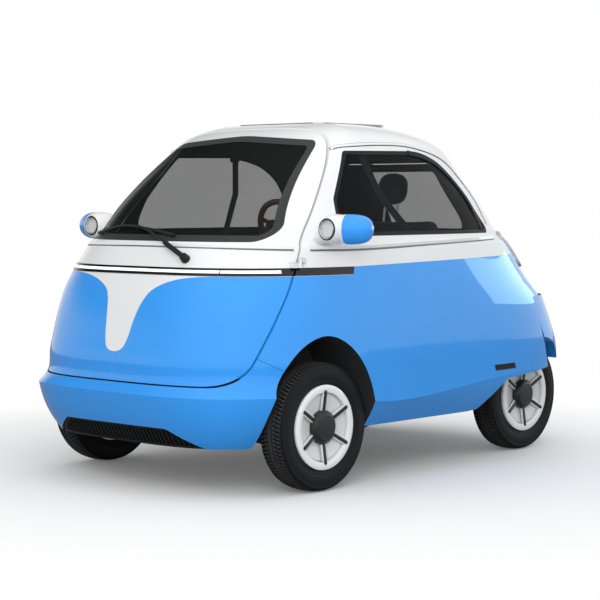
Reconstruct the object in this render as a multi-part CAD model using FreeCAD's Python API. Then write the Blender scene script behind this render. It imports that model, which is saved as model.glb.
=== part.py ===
import FreeCAD
import Part
import math
import os

from FreeCAD import Vector

# A two-seat electric bubble car. Its whole nose, windscreen included, is one door.
# Millimetres. +Z is up, the nose points to -Y and the car's left side is +X.
# The origin is on the floor, in the middle of the length and of the width.

# Overall sizes
LENGTH = 2519.0
BODY_WIDTH = 1473.0
WHEELBASE = 1566.0
FRONT_OVERHANG = 565.0
FRONT_TRACK = 1278.0
REAR_TRACK = 1020.0
TYRE_RADIUS = 264.0
TYRE_WIDTH = 125.0
RIM_RADIUS = 165.0
COVER_FACE = 66.0

# Heights of the levels where the body changes
SKIRT_Z = 192.0
SILL_Z = 238.0
CREASE_Z = 405.0
CREASE_DIP = 64.0
BUMPER_TOP_Z = 735.0
COLOUR_Z = 880.0
COLOUR_RISE = 22.0
BELT_Z = 990.0
CROWN_Z = 1520.0

# Walls, gaps and fits
BODY_WALL = 45.0
CABIN_WALL = 30.0
ROOF_WALL = 26.0
PANEL_GAP = 6.0
SEAT_GAP = 0.3
PIN_GAP = 0.1
GLASS_THICKNESS = 5.0
GLASS_INSET = 3.0
SEAL_WIDTH = 16.0
WINDSCREEN_SEAL_WIDTH = 26.0
BUMPER_SEAM = 3.0
BUMPER_SHELF = 62.0
BUMPER_SHELF_THICKNESS = 24.0
DOOR_BOTTOM_Z = 447.0

NOSE_Y = -LENGTH / 2
TAIL_Y = LENGTH / 2
HALF_WIDTH = BODY_WIDTH / 2
FRONT_AXLE_Y = NOSE_Y + FRONT_OVERHANG
REAR_AXLE_Y = FRONT_AXLE_Y + WHEELBASE
WAIST_Y = FRONT_AXLE_Y + 450.0
AXLE_Z = TYRE_RADIUS
SIDES = (1, -1)

# Body outlines, one row per level: height, setback from the nose, setback from the
# tail, inset from the half width, fullness of the front corners and of the rear ones.
SILL_ROWS = (
    (SKIRT_Z, 90, 120, 106, 4.1, 4.8),
    (SKIRT_Z + 65, 52, 110, 60, 4.1, 4.8),
    (CREASE_Z, 0, 90, 0, 3.8, 5.0),
)
WAIST_ROWS = (
    (CREASE_Z, 0, 90, 0, 3.8, 5.0),
    (DOOR_BOTTOM_Z, 32, 97, 0, 3.5, 5.0),
    (DOOR_BOTTOM_Z + 80, 39, 108, 0, 3.4, 5.0),
    (DOOR_BOTTOM_Z + 155, 57, 130, 4, 3.4, 5.0),
    (DOOR_BOTTOM_Z + 221, 75, 155, 8, 3.4, 5.0),
    (BUMPER_TOP_Z, 96, 189, 14, 3.4, 4.9),
    (BUMPER_TOP_Z + 65, 123, 236, 20, 3.4, 4.4),
    (BELT_Z - 90, 172, 304, 33, 3.2, 4.0),
    (BELT_Z, 226, 352, 51, 3.0, 3.6),
)
CABIN_ROWS = (
    (BELT_Z, 226, 352, 51, 3.0, 3.6),
    (BELT_Z + 50, 265, 384, 71, 2.8, 3.4),
    (BELT_Z + 130, 340, 424, 95, 2.8, 3.2),
    (BELT_Z + 210, 428, 492, 121, 2.8, 3.2),
    (CROWN_Z - 220, 565, 574, 154, 2.8, 3.0),
    (CROWN_Z - 140, 689, 639, 184, 2.8, 3.0),
    (CROWN_Z - 90, 765, 704, 214, 2.8, 3.0),
    (CROWN_Z - 50, 835, 789, 260, 2.8, 2.8),
    (CROWN_Z - 20, 910, 894, 326, 2.6, 2.6),
    (CROWN_Z, 995, 994, 436, 2.6, 2.6),
)
BUMPER_SILL_ROWS = (
    (SKIRT_Z, 90, 50, 106, 4.1, 4.6),
    (SKIRT_Z + 65, 52, 28, 60, 4.1, 4.6),
    (CREASE_Z, 0, 0, 0, 3.8, 4.5),
)
BUMPER_ROWS = (
    (CREASE_Z, 0, 0, 0, 3.8, 4.5),
    (DOOR_BOTTOM_Z, 32, 6, 0, 3.5, 4.5),
    (DOOR_BOTTOM_Z + 80, 39, 24, 0, 3.4, 4.5),
    (DOOR_BOTTOM_Z + 155, 57, 54, 4, 3.4, 4.4),
    (BUMPER_TOP_Z - 35, 84, 104, 11, 3.4, 4.4),
    (BUMPER_TOP_Z, 96, 124, 14, 3.4, 4.4),
)
OUTLINE_STEPS = 24

# Front door
DOOR_HINGE_X = HALF_WIDTH - 84.5
DOOR_HINGE_Y = FRONT_AXLE_Y - 92.0
DOOR_HINGE_Z = 914.0
HINGE_BARREL_RADIUS = 7.0
HINGE_PIN_RADIUS = 3.0

# Light strip round the nose
STRIP_BOTTOM_Z = COLOUR_Z + 2.0
STRIP_TOP_Z = STRIP_BOTTOM_Z + 31.0
STRIP_PROUD = 2.0
STRIP_DEPTH = 12.0
STRIP_END = 186.0
STRIP_SLANT = 10.0

# Room left round the rear wheels
WHEEL_CLEARANCE = 12.0

# Tailgate
HATCH_TOP_Z = 1362.0
HATCH_HINGE_Y = TAIL_Y - 622.0
HATCH_HINGE_Z = HATCH_TOP_Z + 9.0

# Front wheel arch
ARCH_HALF_LENGTH = 285.0
ARCH_HEIGHT = 360.0
ARCH_BASE_Z = 277.0
ARCH_FULLNESS = 1.85
LINER_WALL = 18.0
LINER_X = FRONT_TRACK / 2 - 207.0

# Floor
FLOOR_Z = 250.0
FLOOR_THICKNESS = 30.0
REAR_FLOOR_Z = 560.0
FLOOR_STEP_Y = REAR_AXLE_Y - 440.0

# Round pads under the floor where a jack lifts the car
JACK_POINTS = ((360.0, FRONT_AXLE_Y + 364.5), (450.0, FRONT_AXLE_Y + 1054.5))
JACK_PAD_RADIUS = 32.0
JACK_PAD_HEIGHT = 8.0

# Battery under the seat
BATTERY_HEIGHT = 170.0

# Headlamps, each with a mirror outboard of it
LAMP_X = HALF_WIDTH - 14.5
LAMP_Y = FRONT_AXLE_Y - 12.0
LAMP_Z = BELT_Z + 78.0
LAMP_RADIUS = 62.0
LENS_RADIUS = 42.0
MIRROR_TILT = 18.0

# Steering
KINGPIN_X = FRONT_TRACK / 2 - 29.0
KINGPIN_RADIUS = 12.0
ARM_LEVEL = 108.0
STRUT_X = FRONT_TRACK / 2 - 154.0

# Steering wheel
WHEEL_X = 330.0
WHEEL_Y = FRONT_AXLE_Y + 190.0
WHEEL_Z = 1040.0
WHEEL_RADIUS = 170.0
WHEEL_TILT = 28.0


def box(x0, x1, y0, y1, z0, z1):
    corner = Vector(min(x0, x1), min(y0, y1), min(z0, z1))
    return Part.makeBox(abs(x1 - x0), abs(y1 - y0), abs(z1 - z0), corner)


def rod(start, end, radius):
    return Part.makeCylinder(radius, (end - start).Length, start, end - start)


def bent_rod(points, radius):
    shape = rod(points[0], points[1], radius)
    for start, end in zip(points[1:], points[2:]):
        shape = shape.fuse(Part.makeSphere(radius, start))
        shape = shape.fuse(rod(start, end, radius))
    return shape.removeSplitter()


def mirrored(shape):
    return shape.mirror(Vector(0, 0, 0), Vector(1, 0, 0))


def pair(shape):
    return Part.makeCompound([shape, mirrored(shape)])


def whole(half):
    """A piece that crosses the middle, from its left half."""
    return half.fuse(mirrored(half))


def biggest(shape):
    """The largest solid of a cut, without the slivers beside it."""
    return max(shape.Solids, key=lambda solid: solid.Volume)


def segment(start, end):
    return Part.LineSegment(start, end).toShape()


def face_of(edges):
    return Part.Face(Part.Wire(Part.__sortEdges__(edges)))


def rounded_wire(corners):
    """A closed polygon in one plane, given as (point, radius), with rounded corners."""
    edges = []
    joints = []
    count = len(corners)
    for i, (corner, radius) in enumerate(corners):
        before = corners[i - 1][0] - corner
        after = corners[(i + 1) % count][0] - corner
        half_angle = before.getAngle(after) / 2
        room = 0.49 * min(before.Length, after.Length)
        reach = min(radius / math.tan(half_angle), room)
        fillet = reach * math.tan(half_angle)
        entry = corner + before.normalize() * reach
        leave = corner + after.normalize() * reach
        bisector = (before + after).normalize()
        middle = corner + bisector * (fillet / math.sin(half_angle) - fillet)
        edges.append(Part.Arc(entry, middle, leave).toShape())
        joints.append((entry, leave))
    for i in range(count):
        edges.append(segment(joints[i - 1][1], joints[i][0]))
    return Part.Wire(Part.__sortEdges__(edges))


def side_wire(profile, origin=FRONT_AXLE_Y):
    """An outline seen from the side: (distance behind the origin, height, radius)."""
    return rounded_wire([(Vector(0, origin + y, z), radius) for y, z, radius in profile])


def front_wire(corners, crown=()):
    """An outline seen from the front, the same on both sides.

    Corners of its left half are (inset from the car's side, height, radius), from the
    bottom up. A crown corner on the middle line is (height, radius).
    """
    left = [(Vector(HALF_WIDTH - inset, 0, z), radius) for inset, z, radius in corners]
    right = [(Vector(-corner.x, 0, corner.z), radius) for corner, radius in reversed(left)]
    middle = [(Vector(0, 0, z), radius) for z, radius in crown]
    return rounded_wire(left + middle + right)


def side_polygon(profile, origin=FRONT_AXLE_Y):
    points = [Vector(0, origin + y, z) for y, z in profile]
    return Part.makePolygon(points + points[:1])


def across(wire, start=-900.0, end=900.0):
    """The solid that a side outline sweeps across the car."""
    face = Part.Face(wire)
    face.translate(Vector(start, 0, 0))
    return face.extrude(Vector(end - start, 0, 0))


def along(wire, start, end):
    """The solid that a front outline sweeps along the car."""
    face = Part.Face(wire)
    face.translate(Vector(0, start, 0))
    return face.extrude(Vector(0, end - start, 0))


def outline(row, inset):
    """The left half of one level outline, nose to tail: two quarter superellipses.

    The crease dips towards the sides of the car; every other level is flat.
    """
    level, nose, tail, side, nose_power, tail_power = row
    half = HALF_WIDTH - side - inset
    points = []
    for i in range(OUTLINE_STEPS + 1):
        angle = math.pi * i / OUTLINE_STEPS
        sine = math.sin(angle) if 0 < i < OUTLINE_STEPS else 0.0
        cosine = math.cos(angle)
        ahead = cosine >= 0
        exponent = nose_power if ahead else tail_power
        reach = WAIST_Y - NOSE_Y - nose if ahead else TAIL_Y - tail - WAIST_Y
        scale = (abs(sine) ** exponent + abs(cosine) ** exponent) ** (-1 / exponent)
        z = level - CREASE_DIP * sine ** 12 if level == CREASE_Z else level
        points.append(Vector(half * sine * scale, WAIST_Y - (reach - inset) * cosine * scale, z))
    return points


def skin(rows, inset=0.0):
    """A smooth surface through the outlines of the rows, the same knots in each."""
    stations = [i / OUTLINE_STEPS for i in range(OUTLINE_STEPS + 1)]
    levels = [0.0]
    for low, high in zip(rows, rows[1:]):
        levels.append(levels[-1] + math.hypot(high[0] - low[0], high[3] - low[3]))
    nets = []
    for row in rows:
        level_curve = Part.BSplineCurve()
        level_curve.interpolate(Points=outline(row, inset), Parameters=stations)
        nets.append(level_curve.getPoles())
    poles = []
    for column in zip(*nets):
        column_curve = Part.BSplineCurve()
        column_curve.interpolate(Points=list(column), Parameters=levels)
        poles.append(column_curve.getPoles())
    surface = Part.BSplineSurface()
    surface.buildFromPolesMultsKnots(
        poles, level_curve.getMultiplicities(), column_curve.getMultiplicities(),
        level_curve.getKnots(), column_curve.getKnots(), False, False,
        level_curve.Degree, column_curve.Degree)
    return surface


def skins(inset, *stack):
    return [skin(rows, inset) for rows in stack]


def borders(surface):
    """The bottom, top, nose and tail edges of a skin."""
    nose, tail, bottom, top = surface.bounds()
    return (surface.vIso(bottom).toShape(), surface.vIso(top).toShape(),
            surface.uIso(nose).toShape(), surface.uIso(tail).toShape())


def edge_ends(edge):
    return edge.firstVertex().Point, edge.lastVertex().Point


def solid_of(faces):
    shell = Part.makeShell(faces)
    shell.sewShape()
    solid = Part.Solid(shell)
    if solid.Volume < 0:
        solid.reverse()
    return solid


def middle_edges(skins):
    return [edge for surface in skins for edge in borders(surface)[2:]]


def filled(skins):
    """The left half of everything inside a stack of skins."""
    bottom = borders(skins[0])[0]
    top = borders(skins[-1])[1]
    floor_line = segment(*edge_ends(bottom))
    roof_line = segment(*edge_ends(top))
    caps = [face_of([bottom, floor_line]), face_of([top, roof_line]),
            face_of(middle_edges(skins) + [floor_line, roof_line])]
    return solid_of([surface.toShape() for surface in skins] + caps)


def wall(outer, inner):
    """The left half of the wall between two stacks of skins, open above and below."""
    caps = []
    ties = []
    for outer_edge, inner_edge in ((borders(outer[0])[0], borders(inner[0])[0]),
                                   (borders(outer[-1])[1], borders(inner[-1])[1])):
        outer_ends = edge_ends(outer_edge)
        inner_ends = edge_ends(inner_edge)
        lines = [segment(outer_ends[i], inner_ends[i]) for i in range(2)]
        caps.append(face_of([outer_edge, inner_edge] + lines))
        ties.append(lines)
    for end in range(2):
        sides = [borders(surface)[2 + end] for surface in outer + inner]
        caps.append(face_of(sides + [ties[0][end], ties[1][end]]))
    return solid_of([surface.toShape() for surface in outer + inner] + caps)


def vault(outer, inner):
    """The left half of a wall that closes over the top."""
    low_outer = borders(outer[0])[0]
    low_inner = borders(inner[0])[0]
    lines = [segment(a, b) for a, b in zip(edge_ends(low_outer), edge_ends(low_inner))]
    crown = borders(outer[-1])[1]
    lining = borders(inner[-1])[1]
    crown_line = segment(*edge_ends(crown))
    lining_line = segment(*edge_ends(lining))
    caps = [face_of([low_outer, low_inner] + lines), face_of([crown, crown_line]),
            face_of([lining, lining_line]),
            face_of(middle_edges(outer + inner) + lines + [crown_line, lining_line])]
    return solid_of([surface.toShape() for surface in outer + inner] + caps)


def lining_rows():
    """The cabin's inner face: the wall thins above the belt and drops under the roof."""
    rows = []
    for z, nose, tail, side, nose_power, tail_power in CABIN_ROWS:
        share = min(1.0, (z - BELT_Z) / 130)
        inset = BODY_WALL + share * (CABIN_WALL - BODY_WALL)
        rows.append((z - share * ROOF_WALL, nose + inset, tail + inset, side + inset,
                     nose_power, tail_power))
    return rows


def band(outer_inset, inner_inset, *stack):
    """The left half of a layer of the body between two depths below its skin."""
    return wall(skins(outer_inset, *stack), skins(inner_inset, *stack))


def door_region(shift):
    """Everything ahead of the door gap; shift moves the cut forward and up."""
    profile = ((-750, DOOR_BOTTOM_Z, 20), (-379, DOOR_BOTTOM_Z, 170), (-46, 1008, 250),
               (390, 1560, 5), (-750, 1560, 5))
    region = across(side_wire(profile))
    region.translate(Vector(0, -shift, shift))
    return region


def power(value, exponent):
    return math.copysign(abs(value) ** exponent, value)


def arch_wire(grow=0.0):
    """The front wheel arch seen from the side: half a superellipse on straight legs."""
    steps = 16
    points = []
    for i in range(steps + 1):
        angle = math.pi * i / steps
        sine = math.sin(angle) if 0 < i < steps else 0.0
        y = (ARCH_HALF_LENGTH + grow) * power(math.cos(angle), 2 / ARCH_FULLNESS)
        z = (ARCH_HEIGHT + grow) * power(sine, 2 / ARCH_FULLNESS)
        points.append(Vector(0, FRONT_AXLE_Y + y, ARCH_BASE_Z + z))
    curve = Part.BSplineCurve()
    curve.interpolate(points)
    low_front = Vector(0, points[-1].y, SKIRT_Z - 60)
    low_rear = Vector(0, points[0].y, SKIRT_Z - 60)
    return Part.Wire([curve.toShape(), segment(points[-1], low_front),
                      segment(low_front, low_rear), segment(low_rear, points[0])])


def colour_region():
    """Below the line where the lower colour ends: it steps up at the end of the light strip."""
    high = STRIP_TOP_Z + COLOUR_RISE
    profile = ((-900, COLOUR_Z), (STRIP_END - STRIP_SLANT, COLOUR_Z), (STRIP_END, STRIP_TOP_Z),
               (1400, high), (2100, high), (2100, 100), (-900, 100))
    return across(side_polygon(profile))


def rear_edge_region():
    """The space under the rear wings, behind the sills and over the rear wheels' sides."""
    profile = ((-566, 100, 5), (-566, SILL_Z, 5), (-498, SILL_Z + 4, 30), (-341, 374, 60),
               (560, 424, 5), (560, 100, 5))
    return across(side_wire(profile, REAR_AXLE_Y))


def tail_bumper_region(gap):
    """Behind the slanting seam of the rear bumper."""
    return across(side_polygon([(y + gap, z) for y, z in (
        (-464, BUMPER_TOP_Z), (-314, 370), (-314, 100), (200, 100), (200, BUMPER_TOP_Z))], TAIL_Y))


def nose_bumper_region(gap):
    """Ahead of the seam between the front bumper and the front wing."""
    return across(side_polygon([(y - gap, z) for y, z in (
        (-900, 100), (-900, 640), (-470, 640), (-180, 488), (-180, 100))]))


def hatch_wire():
    return front_wire(((266, BUMPER_TOP_Z - 45, 60), (376, HATCH_TOP_Z, 110)))


def rear_window_wire():
    return front_wire(((486, BELT_Z + 40, 50), (504, HATCH_TOP_Z - 26, 50)))


def windscreen_wire():
    return front_wire(((176, BELT_Z + 26, 62), (316, 1440, 55)), ((1468, 900),))


def side_window_wire():
    return side_wire(((308, 1394, 25), (961, 1403, 600), (1248, 1036, 25), (146, 1036, 60),
                      (172, 1190, 60)))


def glazing(wire, spread, seal_width=SEAL_WIDTH):
    """The left half of a pane and of its seal, in the cabin wall behind one outline."""
    pane_band = band(GLASS_INSET, GLASS_INSET + GLASS_THICKNESS, CABIN_ROWS)
    seal_band = band(1.0, CABIN_WALL / 2, CABIN_ROWS)
    pane = pane_band.common(spread(wire.makeOffset2D(-seal_width - SEAT_GAP)))
    seal = seal_band.common(spread(wire.makeOffset2D(-SEAT_GAP)))
    seal = seal.cut(spread(wire.makeOffset2D(-seal_width)))
    return biggest(pane), biggest(seal)


def shell_panels(nodes):
    """The outer skin, cut into the panels that the real body is made of."""
    outer = skins(0.0, SILL_ROWS, WAIST_ROWS, CABIN_ROWS)
    inner = skins(BODY_WALL, SILL_ROWS, WAIST_ROWS) + [skin(lining_rows())]
    shell = vault(outer, inner).cut(along(windscreen_wire(), NOSE_Y, WAIST_Y))

    door = shell.common(door_region(PANEL_GAP / 2))
    blue = box(-900, 900, NOSE_Y - 10, TAIL_Y, 0, COLOUR_Z)
    nodes["door_panel"] = biggest(door.common(blue))
    nodes["door_frame"] = biggest(door.cut(blue))

    body = shell.cut(door_region(-PANEL_GAP / 2)).cut(across(arch_wire(), LINER_X - 12))
    body = body.cut(tail_bumper_region(-BUMPER_SEAM / 2))
    nodes["front_bumper"] = biggest(body.common(nose_bumper_region(BUMPER_SEAM / 2)))
    body = body.cut(nose_bumper_region(-BUMPER_SEAM / 2)).cut(rear_edge_region())
    body = body.cut(box(-900, 900, FRONT_AXLE_Y, FRONT_AXLE_Y + 1200, 0, SILL_Z))

    lid = along(hatch_wire().makeOffset2D(-PANEL_GAP), WAIST_Y + 400, TAIL_Y + 50)
    lid = lid.cut(box(-900, 900, WAIST_Y, TAIL_Y + 50, 0, BUMPER_TOP_Z + PANEL_GAP))
    opening = along(hatch_wire(), WAIST_Y + 400, TAIL_Y + 50)
    opening = opening.cut(box(-900, 900, WAIST_Y, TAIL_Y + 50, 0, BUMPER_TOP_Z))
    glass = along(rear_window_wire(), WAIST_Y + 400, TAIL_Y)
    nodes["hatch"] = biggest(body.common(lid).cut(glass))
    body = body.cut(opening)

    above_belt = box(-900, 900, NOSE_Y, TAIL_Y, BELT_Z, CROWN_Z + 50)
    upper = body.cut(colour_region())
    nodes["side_panels"] = biggest(body.common(colour_region()))
    nodes["belt_panels"] = biggest(upper.cut(above_belt))
    roof = upper.common(above_belt).cut(across(side_window_wire(), HALF_WIDTH - 436))
    nodes["roof_panel"] = biggest(roof)


def rear_bumper(nodes):
    """A thick moulding across the tail, its middle hanging lower to carry the plate."""
    hanging = along(front_wire(((336, 290, 30), (296, 424, 30), (296, 500, 5))), WAIST_Y, TAIL_Y + 50)
    trim = box(0, 900, WAIST_Y, TAIL_Y + 50, 0, 424).cut(hanging)
    bumper = band(0.0, BODY_WALL, BUMPER_SILL_ROWS, BUMPER_ROWS).cut(trim)
    inner_x = (REAR_TRACK - TYRE_WIDTH) / 2 - WHEEL_CLEARANCE
    wheel_room = rod(Vector(inner_x, REAR_AXLE_Y, AXLE_Z), Vector(HALF_WIDTH - BODY_WALL, REAR_AXLE_Y, AXLE_Z),
                     TYRE_RADIUS + WHEEL_CLEARANCE)
    bumper = bumper.cut(wheel_room)
    lid = band(0.0, BUMPER_SHELF, BUMPER_ROWS[-2:])
    lid = lid.common(box(0, 900, WAIST_Y, TAIL_Y, BUMPER_TOP_Z - BUMPER_SHELF_THICKNESS, BUMPER_TOP_Z))
    region = tail_bumper_region(BUMPER_SEAM / 2)
    nodes["rear_bumper"] = biggest(bumper.common(region).fuse(lid.common(region)))


def glass_nodes(nodes):
    def ahead(wire):
        return along(wire, NOSE_Y, WAIST_Y)

    def behind(wire):
        return along(wire, WAIST_Y + 400, TAIL_Y)

    def beside(wire):
        return across(wire, HALF_WIDTH - 436)

    pane, seal = glazing(windscreen_wire(), ahead, WINDSCREEN_SEAL_WIDTH)
    nodes["windscreen"], nodes["windscreen_seal"] = whole(pane), whole(seal)
    pane, seal = glazing(rear_window_wire(), behind)
    nodes["rear_window"], nodes["rear_window_seal"] = whole(pane), whole(seal)
    pane, seal = glazing(side_window_wire(), beside)
    nodes["side_windows"], nodes["side_window_seals"] = pair(pane), pair(seal)


def light_strip(nodes):
    """A dark strip let into the skin just above the colour line, round the nose."""
    def slab(grow):
        low, high = STRIP_BOTTOM_Z - grow, STRIP_TOP_Z + grow
        end = STRIP_END + grow
        return across(side_polygon(((-700, low), (end - STRIP_SLANT, low), (end, high), (-700, high))))

    strip = band(-STRIP_PROUD, STRIP_DEPTH, SILL_ROWS, WAIST_ROWS).common(slab(0.0))
    groove = band(-20.0, STRIP_DEPTH + SEAT_GAP, SILL_ROWS, WAIST_ROWS).common(slab(SEAT_GAP))
    nodes["door_light_bar"] = biggest(strip.common(door_region(PANEL_GAP / 2)))
    nodes["light_strips"] = biggest(strip.cut(door_region(-PANEL_GAP / 2)))
    for name in ("door_frame", "belt_panels", "side_panels"):
        nodes[name] = biggest(nodes[name].cut(groove))


def join_halves(nodes):
    """Pieces made so far as left halves become whole ones or pairs."""
    for name in ("door_panel", "door_frame", "door_light_bar", "front_bumper", "rear_bumper",
                 "front_grille", "hatch", "roof_panel"):
        nodes[name] = whole(nodes[name])
    for name in ("side_panels", "belt_panels", "light_strips"):
        nodes[name] = pair(nodes[name])


def hinge_barrels(x, y, low_z, high_z):
    """A vertical hinge: a moving barrel below a fixed one, on the fixed one's pin."""
    middle = (low_z + high_z) / 2
    fixed = rod(Vector(x, y, middle + SEAT_GAP), Vector(x, y, high_z), HINGE_BARREL_RADIUS)
    fixed = fixed.fuse(hinge_leaf(x, y, middle + SEAT_GAP, high_z, 1))
    fixed = fixed.fuse(rod(Vector(x, y, low_z), Vector(x, y, high_z), HINGE_PIN_RADIUS))
    moving = rod(Vector(x, y, low_z), Vector(x, y, middle), HINGE_BARREL_RADIUS)
    moving = moving.fuse(hinge_leaf(x, y, low_z, middle, -1))
    bore = rod(Vector(x, y, low_z - 1), Vector(x, y, high_z), HINGE_PIN_RADIUS + PIN_GAP)
    return fixed.removeSplitter(), moving.cut(bore).removeSplitter()


def hinge_leaf(x, y, low_z, high_z, direction):
    """The tongue that ties a barrel to its panel, ahead of the axis or behind it."""
    inner = x - BODY_WALL - 15
    strap = box(x - HINGE_BARREL_RADIUS, x, y, y + 34 * direction, low_z, high_z)
    root = box(inner, x - HINGE_BARREL_RADIUS, y + 14 * direction, y + 34 * direction, low_z, high_z)
    return strap.fuse(root)


def door_hinge(nodes):
    """The hinge on the left edge of the front door, just outside the skin."""
    fixed, moving = hinge_barrels(DOOR_HINGE_X, DOOR_HINGE_Y, DOOR_HINGE_Z, DOOR_HINGE_Z + 40)
    nodes["door_frame"] = nodes["door_frame"].fuse(moving)
    nodes["belt_panels"] = nodes["belt_panels"].fuse(fixed)


def grille(nodes):
    """A low black grille of upright ribs in the mouth of the front bumper, open downwards."""
    high, rim, pitch, rib = SKIRT_Z + 80, 9.0, 22.0, 6.0
    rear = FRONT_AXLE_Y - 220
    mouth = front_wire(((216, SKIRT_Z - 42, 5), (434, high, 60)))
    nodes["front_bumper"] = biggest(nodes["front_bumper"].cut(along(mouth, NOSE_Y - 10, rear)))
    body = band(10, 32, SILL_ROWS, WAIST_ROWS)
    body = biggest(body.common(along(mouth.makeOffset2D(-SEAT_GAP), NOSE_Y - 10, rear)))
    slots = []
    for i in range(int(HALF_WIDTH / pitch)):
        left = i * pitch + rib / 2
        slots.append(box(left, left + pitch - rib, NOSE_Y, rear, SKIRT_Z + rim, high))
    slots = Part.makeCompound(slots).common(along(mouth.makeOffset2D(-rim), NOSE_Y, rear))
    nodes["front_grille"] = biggest(body.cut(slots))


def sunroof(nodes):
    """A folding fabric roof let into the crown."""
    half, front, rear, corner = HALF_WIDTH - 476, 450.0, 930.0, 60.0
    depth, height, edge_radius = 8.0, 6.0, 4.0
    base = CROWN_Z - depth
    corners = ((-half, front), (half, front), (half, rear), (-half, rear))
    plan = rounded_wire([(Vector(x, FRONT_AXLE_Y + y, base), corner) for x, y in corners])
    pocket = Part.Face(plan.makeOffset2D(SEAT_GAP)).extrude(Vector(0, 0, depth * 4))
    nodes["roof_panel"] = biggest(nodes["roof_panel"].cut(pocket))
    pad = Part.Face(plan).extrude(Vector(0, 0, depth + height))
    pad.translate(Vector(0, 0, SEAT_GAP))
    rim = [edge for edge in pad.Edges if edge.BoundBox.ZMin > base + depth + height - 1]
    nodes["sunroof"] = pad.makeFillet(edge_radius, rim)


def turned_body(profile):
    """A closed round body on the Y axis: (distance along it, radius), nose first, flat nose."""
    curve = Part.BSplineCurve()
    curve.interpolate([Vector(radius, y, 0) for y, radius in profile])
    tip = Vector(0, profile[-1][0], 0)
    edges = [segment(Vector(0, 0, 0), curve.StartPoint), curve.toShape(), segment(tip, Vector(0, 0, 0))]
    return Part.Face(Part.Wire(edges)).revolve(Vector(0, 0, 0), Vector(0, 1, 0), 360)


def lamp_pods(nodes):
    """Round headlamp housings on the front pillars, each with a mirror outboard."""
    front = Vector(LAMP_X, LAMP_Y, LAMP_Z)
    body = turned_body(((0, 46), (14, 54), (50, LAMP_RADIUS), (95, 58), (138, 36), (150, 0)))
    body.translate(front)
    foot = Part.makeLoft([
        ellipse_x(LAMP_X - 82, LAMP_Y + 74, LAMP_Z - 34, 62, 34),
        ellipse_x(LAMP_X - 32, LAMP_Y + 70, LAMP_Z - 12, 50, 40),
    ], True, False)
    body_side = filled(skins(-SEAT_GAP, SILL_ROWS, WAIST_ROWS, CABIN_ROWS))
    housing = body.fuse(foot).cut(body_side)

    tilt = math.radians(MIRROR_TILT)
    outward = Vector(math.cos(tilt), math.sin(tilt), 0)
    root = front + Vector(30, 66, 0)
    bullet = turned_body(((0, 60), (30, 62), (65, 60), (96, 53), (118, 38), (128, 18), (130, 0)))
    bullet.Placement = FreeCAD.Placement(root, FreeCAD.Rotation(Vector(0, 1, 0), outward))
    glass_y = root.y + 46
    reach = 4 * LAMP_RADIUS
    bullet = bullet.cut(box(LAMP_X - reach, LAMP_X + reach, glass_y, glass_y + reach,
                            LAMP_Z - reach, LAMP_Z + reach))
    split = box(-1, 18, -reach, reach, -reach, reach)
    split.Placement = FreeCAD.Placement(root, FreeCAD.Rotation(Vector(1, 0, 0), outward))
    shell = bullet.cut(split)
    housing = housing.cut(shell).fuse(bullet.common(split))

    pane_x, pane_radius, pane_half = root.x + 76, 44.0, 38.0
    glass = rod(Vector(pane_x, glass_y, LAMP_Z), Vector(pane_x, glass_y + 4, LAMP_Z), pane_radius)
    glass = glass.common(box(0, LAMP_X + reach, glass_y, glass_y + 4, LAMP_Z - pane_half, LAMP_Z + pane_half))
    glass.translate(Vector(0, SEAT_GAP, 0))

    housing = housing.cut(rod(front - Vector(0, 1, 0), front + Vector(0, 22, 0), LENS_RADIUS))
    lens = rod(front + Vector(0, 6, 0), front + Vector(0, 21, 0), LENS_RADIUS - SEAT_GAP)
    lens = lens.common(Part.makeSphere(70, front + Vector(0, 68, 0)))

    nodes["lamp_pods"] = pair(biggest(housing))
    nodes["headlamps"] = pair(biggest(lens))
    nodes["mirror_shells"] = pair(biggest(shell))
    nodes["mirror_glasses"] = pair(biggest(glass))


def ellipse_x(x, y, z, major, minor):
    """An upright ellipse facing sideways."""
    curve = Part.Ellipse(Vector(0, 0, 0), major, minor)
    shape = Part.Wire(curve.toShape())
    turn = FreeCAD.Rotation(Vector(0, 1, 0), Vector(0, 0, 1), Vector(1, 0, 0))
    shape.Placement = FreeCAD.Placement(Vector(x, y, z), turn)
    return shape


def tail_lamps(nodes):
    """Upright rounded lamps that stand a little proud of the rear corners."""
    inset, width, low, high, proud = 171.0, 74.0, 868.0, 1040.0, 14.0
    left, right = HALF_WIDTH - inset, HALF_WIDTH - inset - width
    corners = ((right, low), (left, low), (left, high), (right, high))
    column = rounded_wire([(Vector(x, 0, z), width * 0.49) for x, z in corners])
    column = along(column, WAIST_Y + 600, TAIL_Y)
    lamp = band(-proud, -SEAT_GAP, SILL_ROWS, WAIST_ROWS, CABIN_ROWS)
    nodes["tail_lamps"] = pair(biggest(lamp.common(column)))


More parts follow.
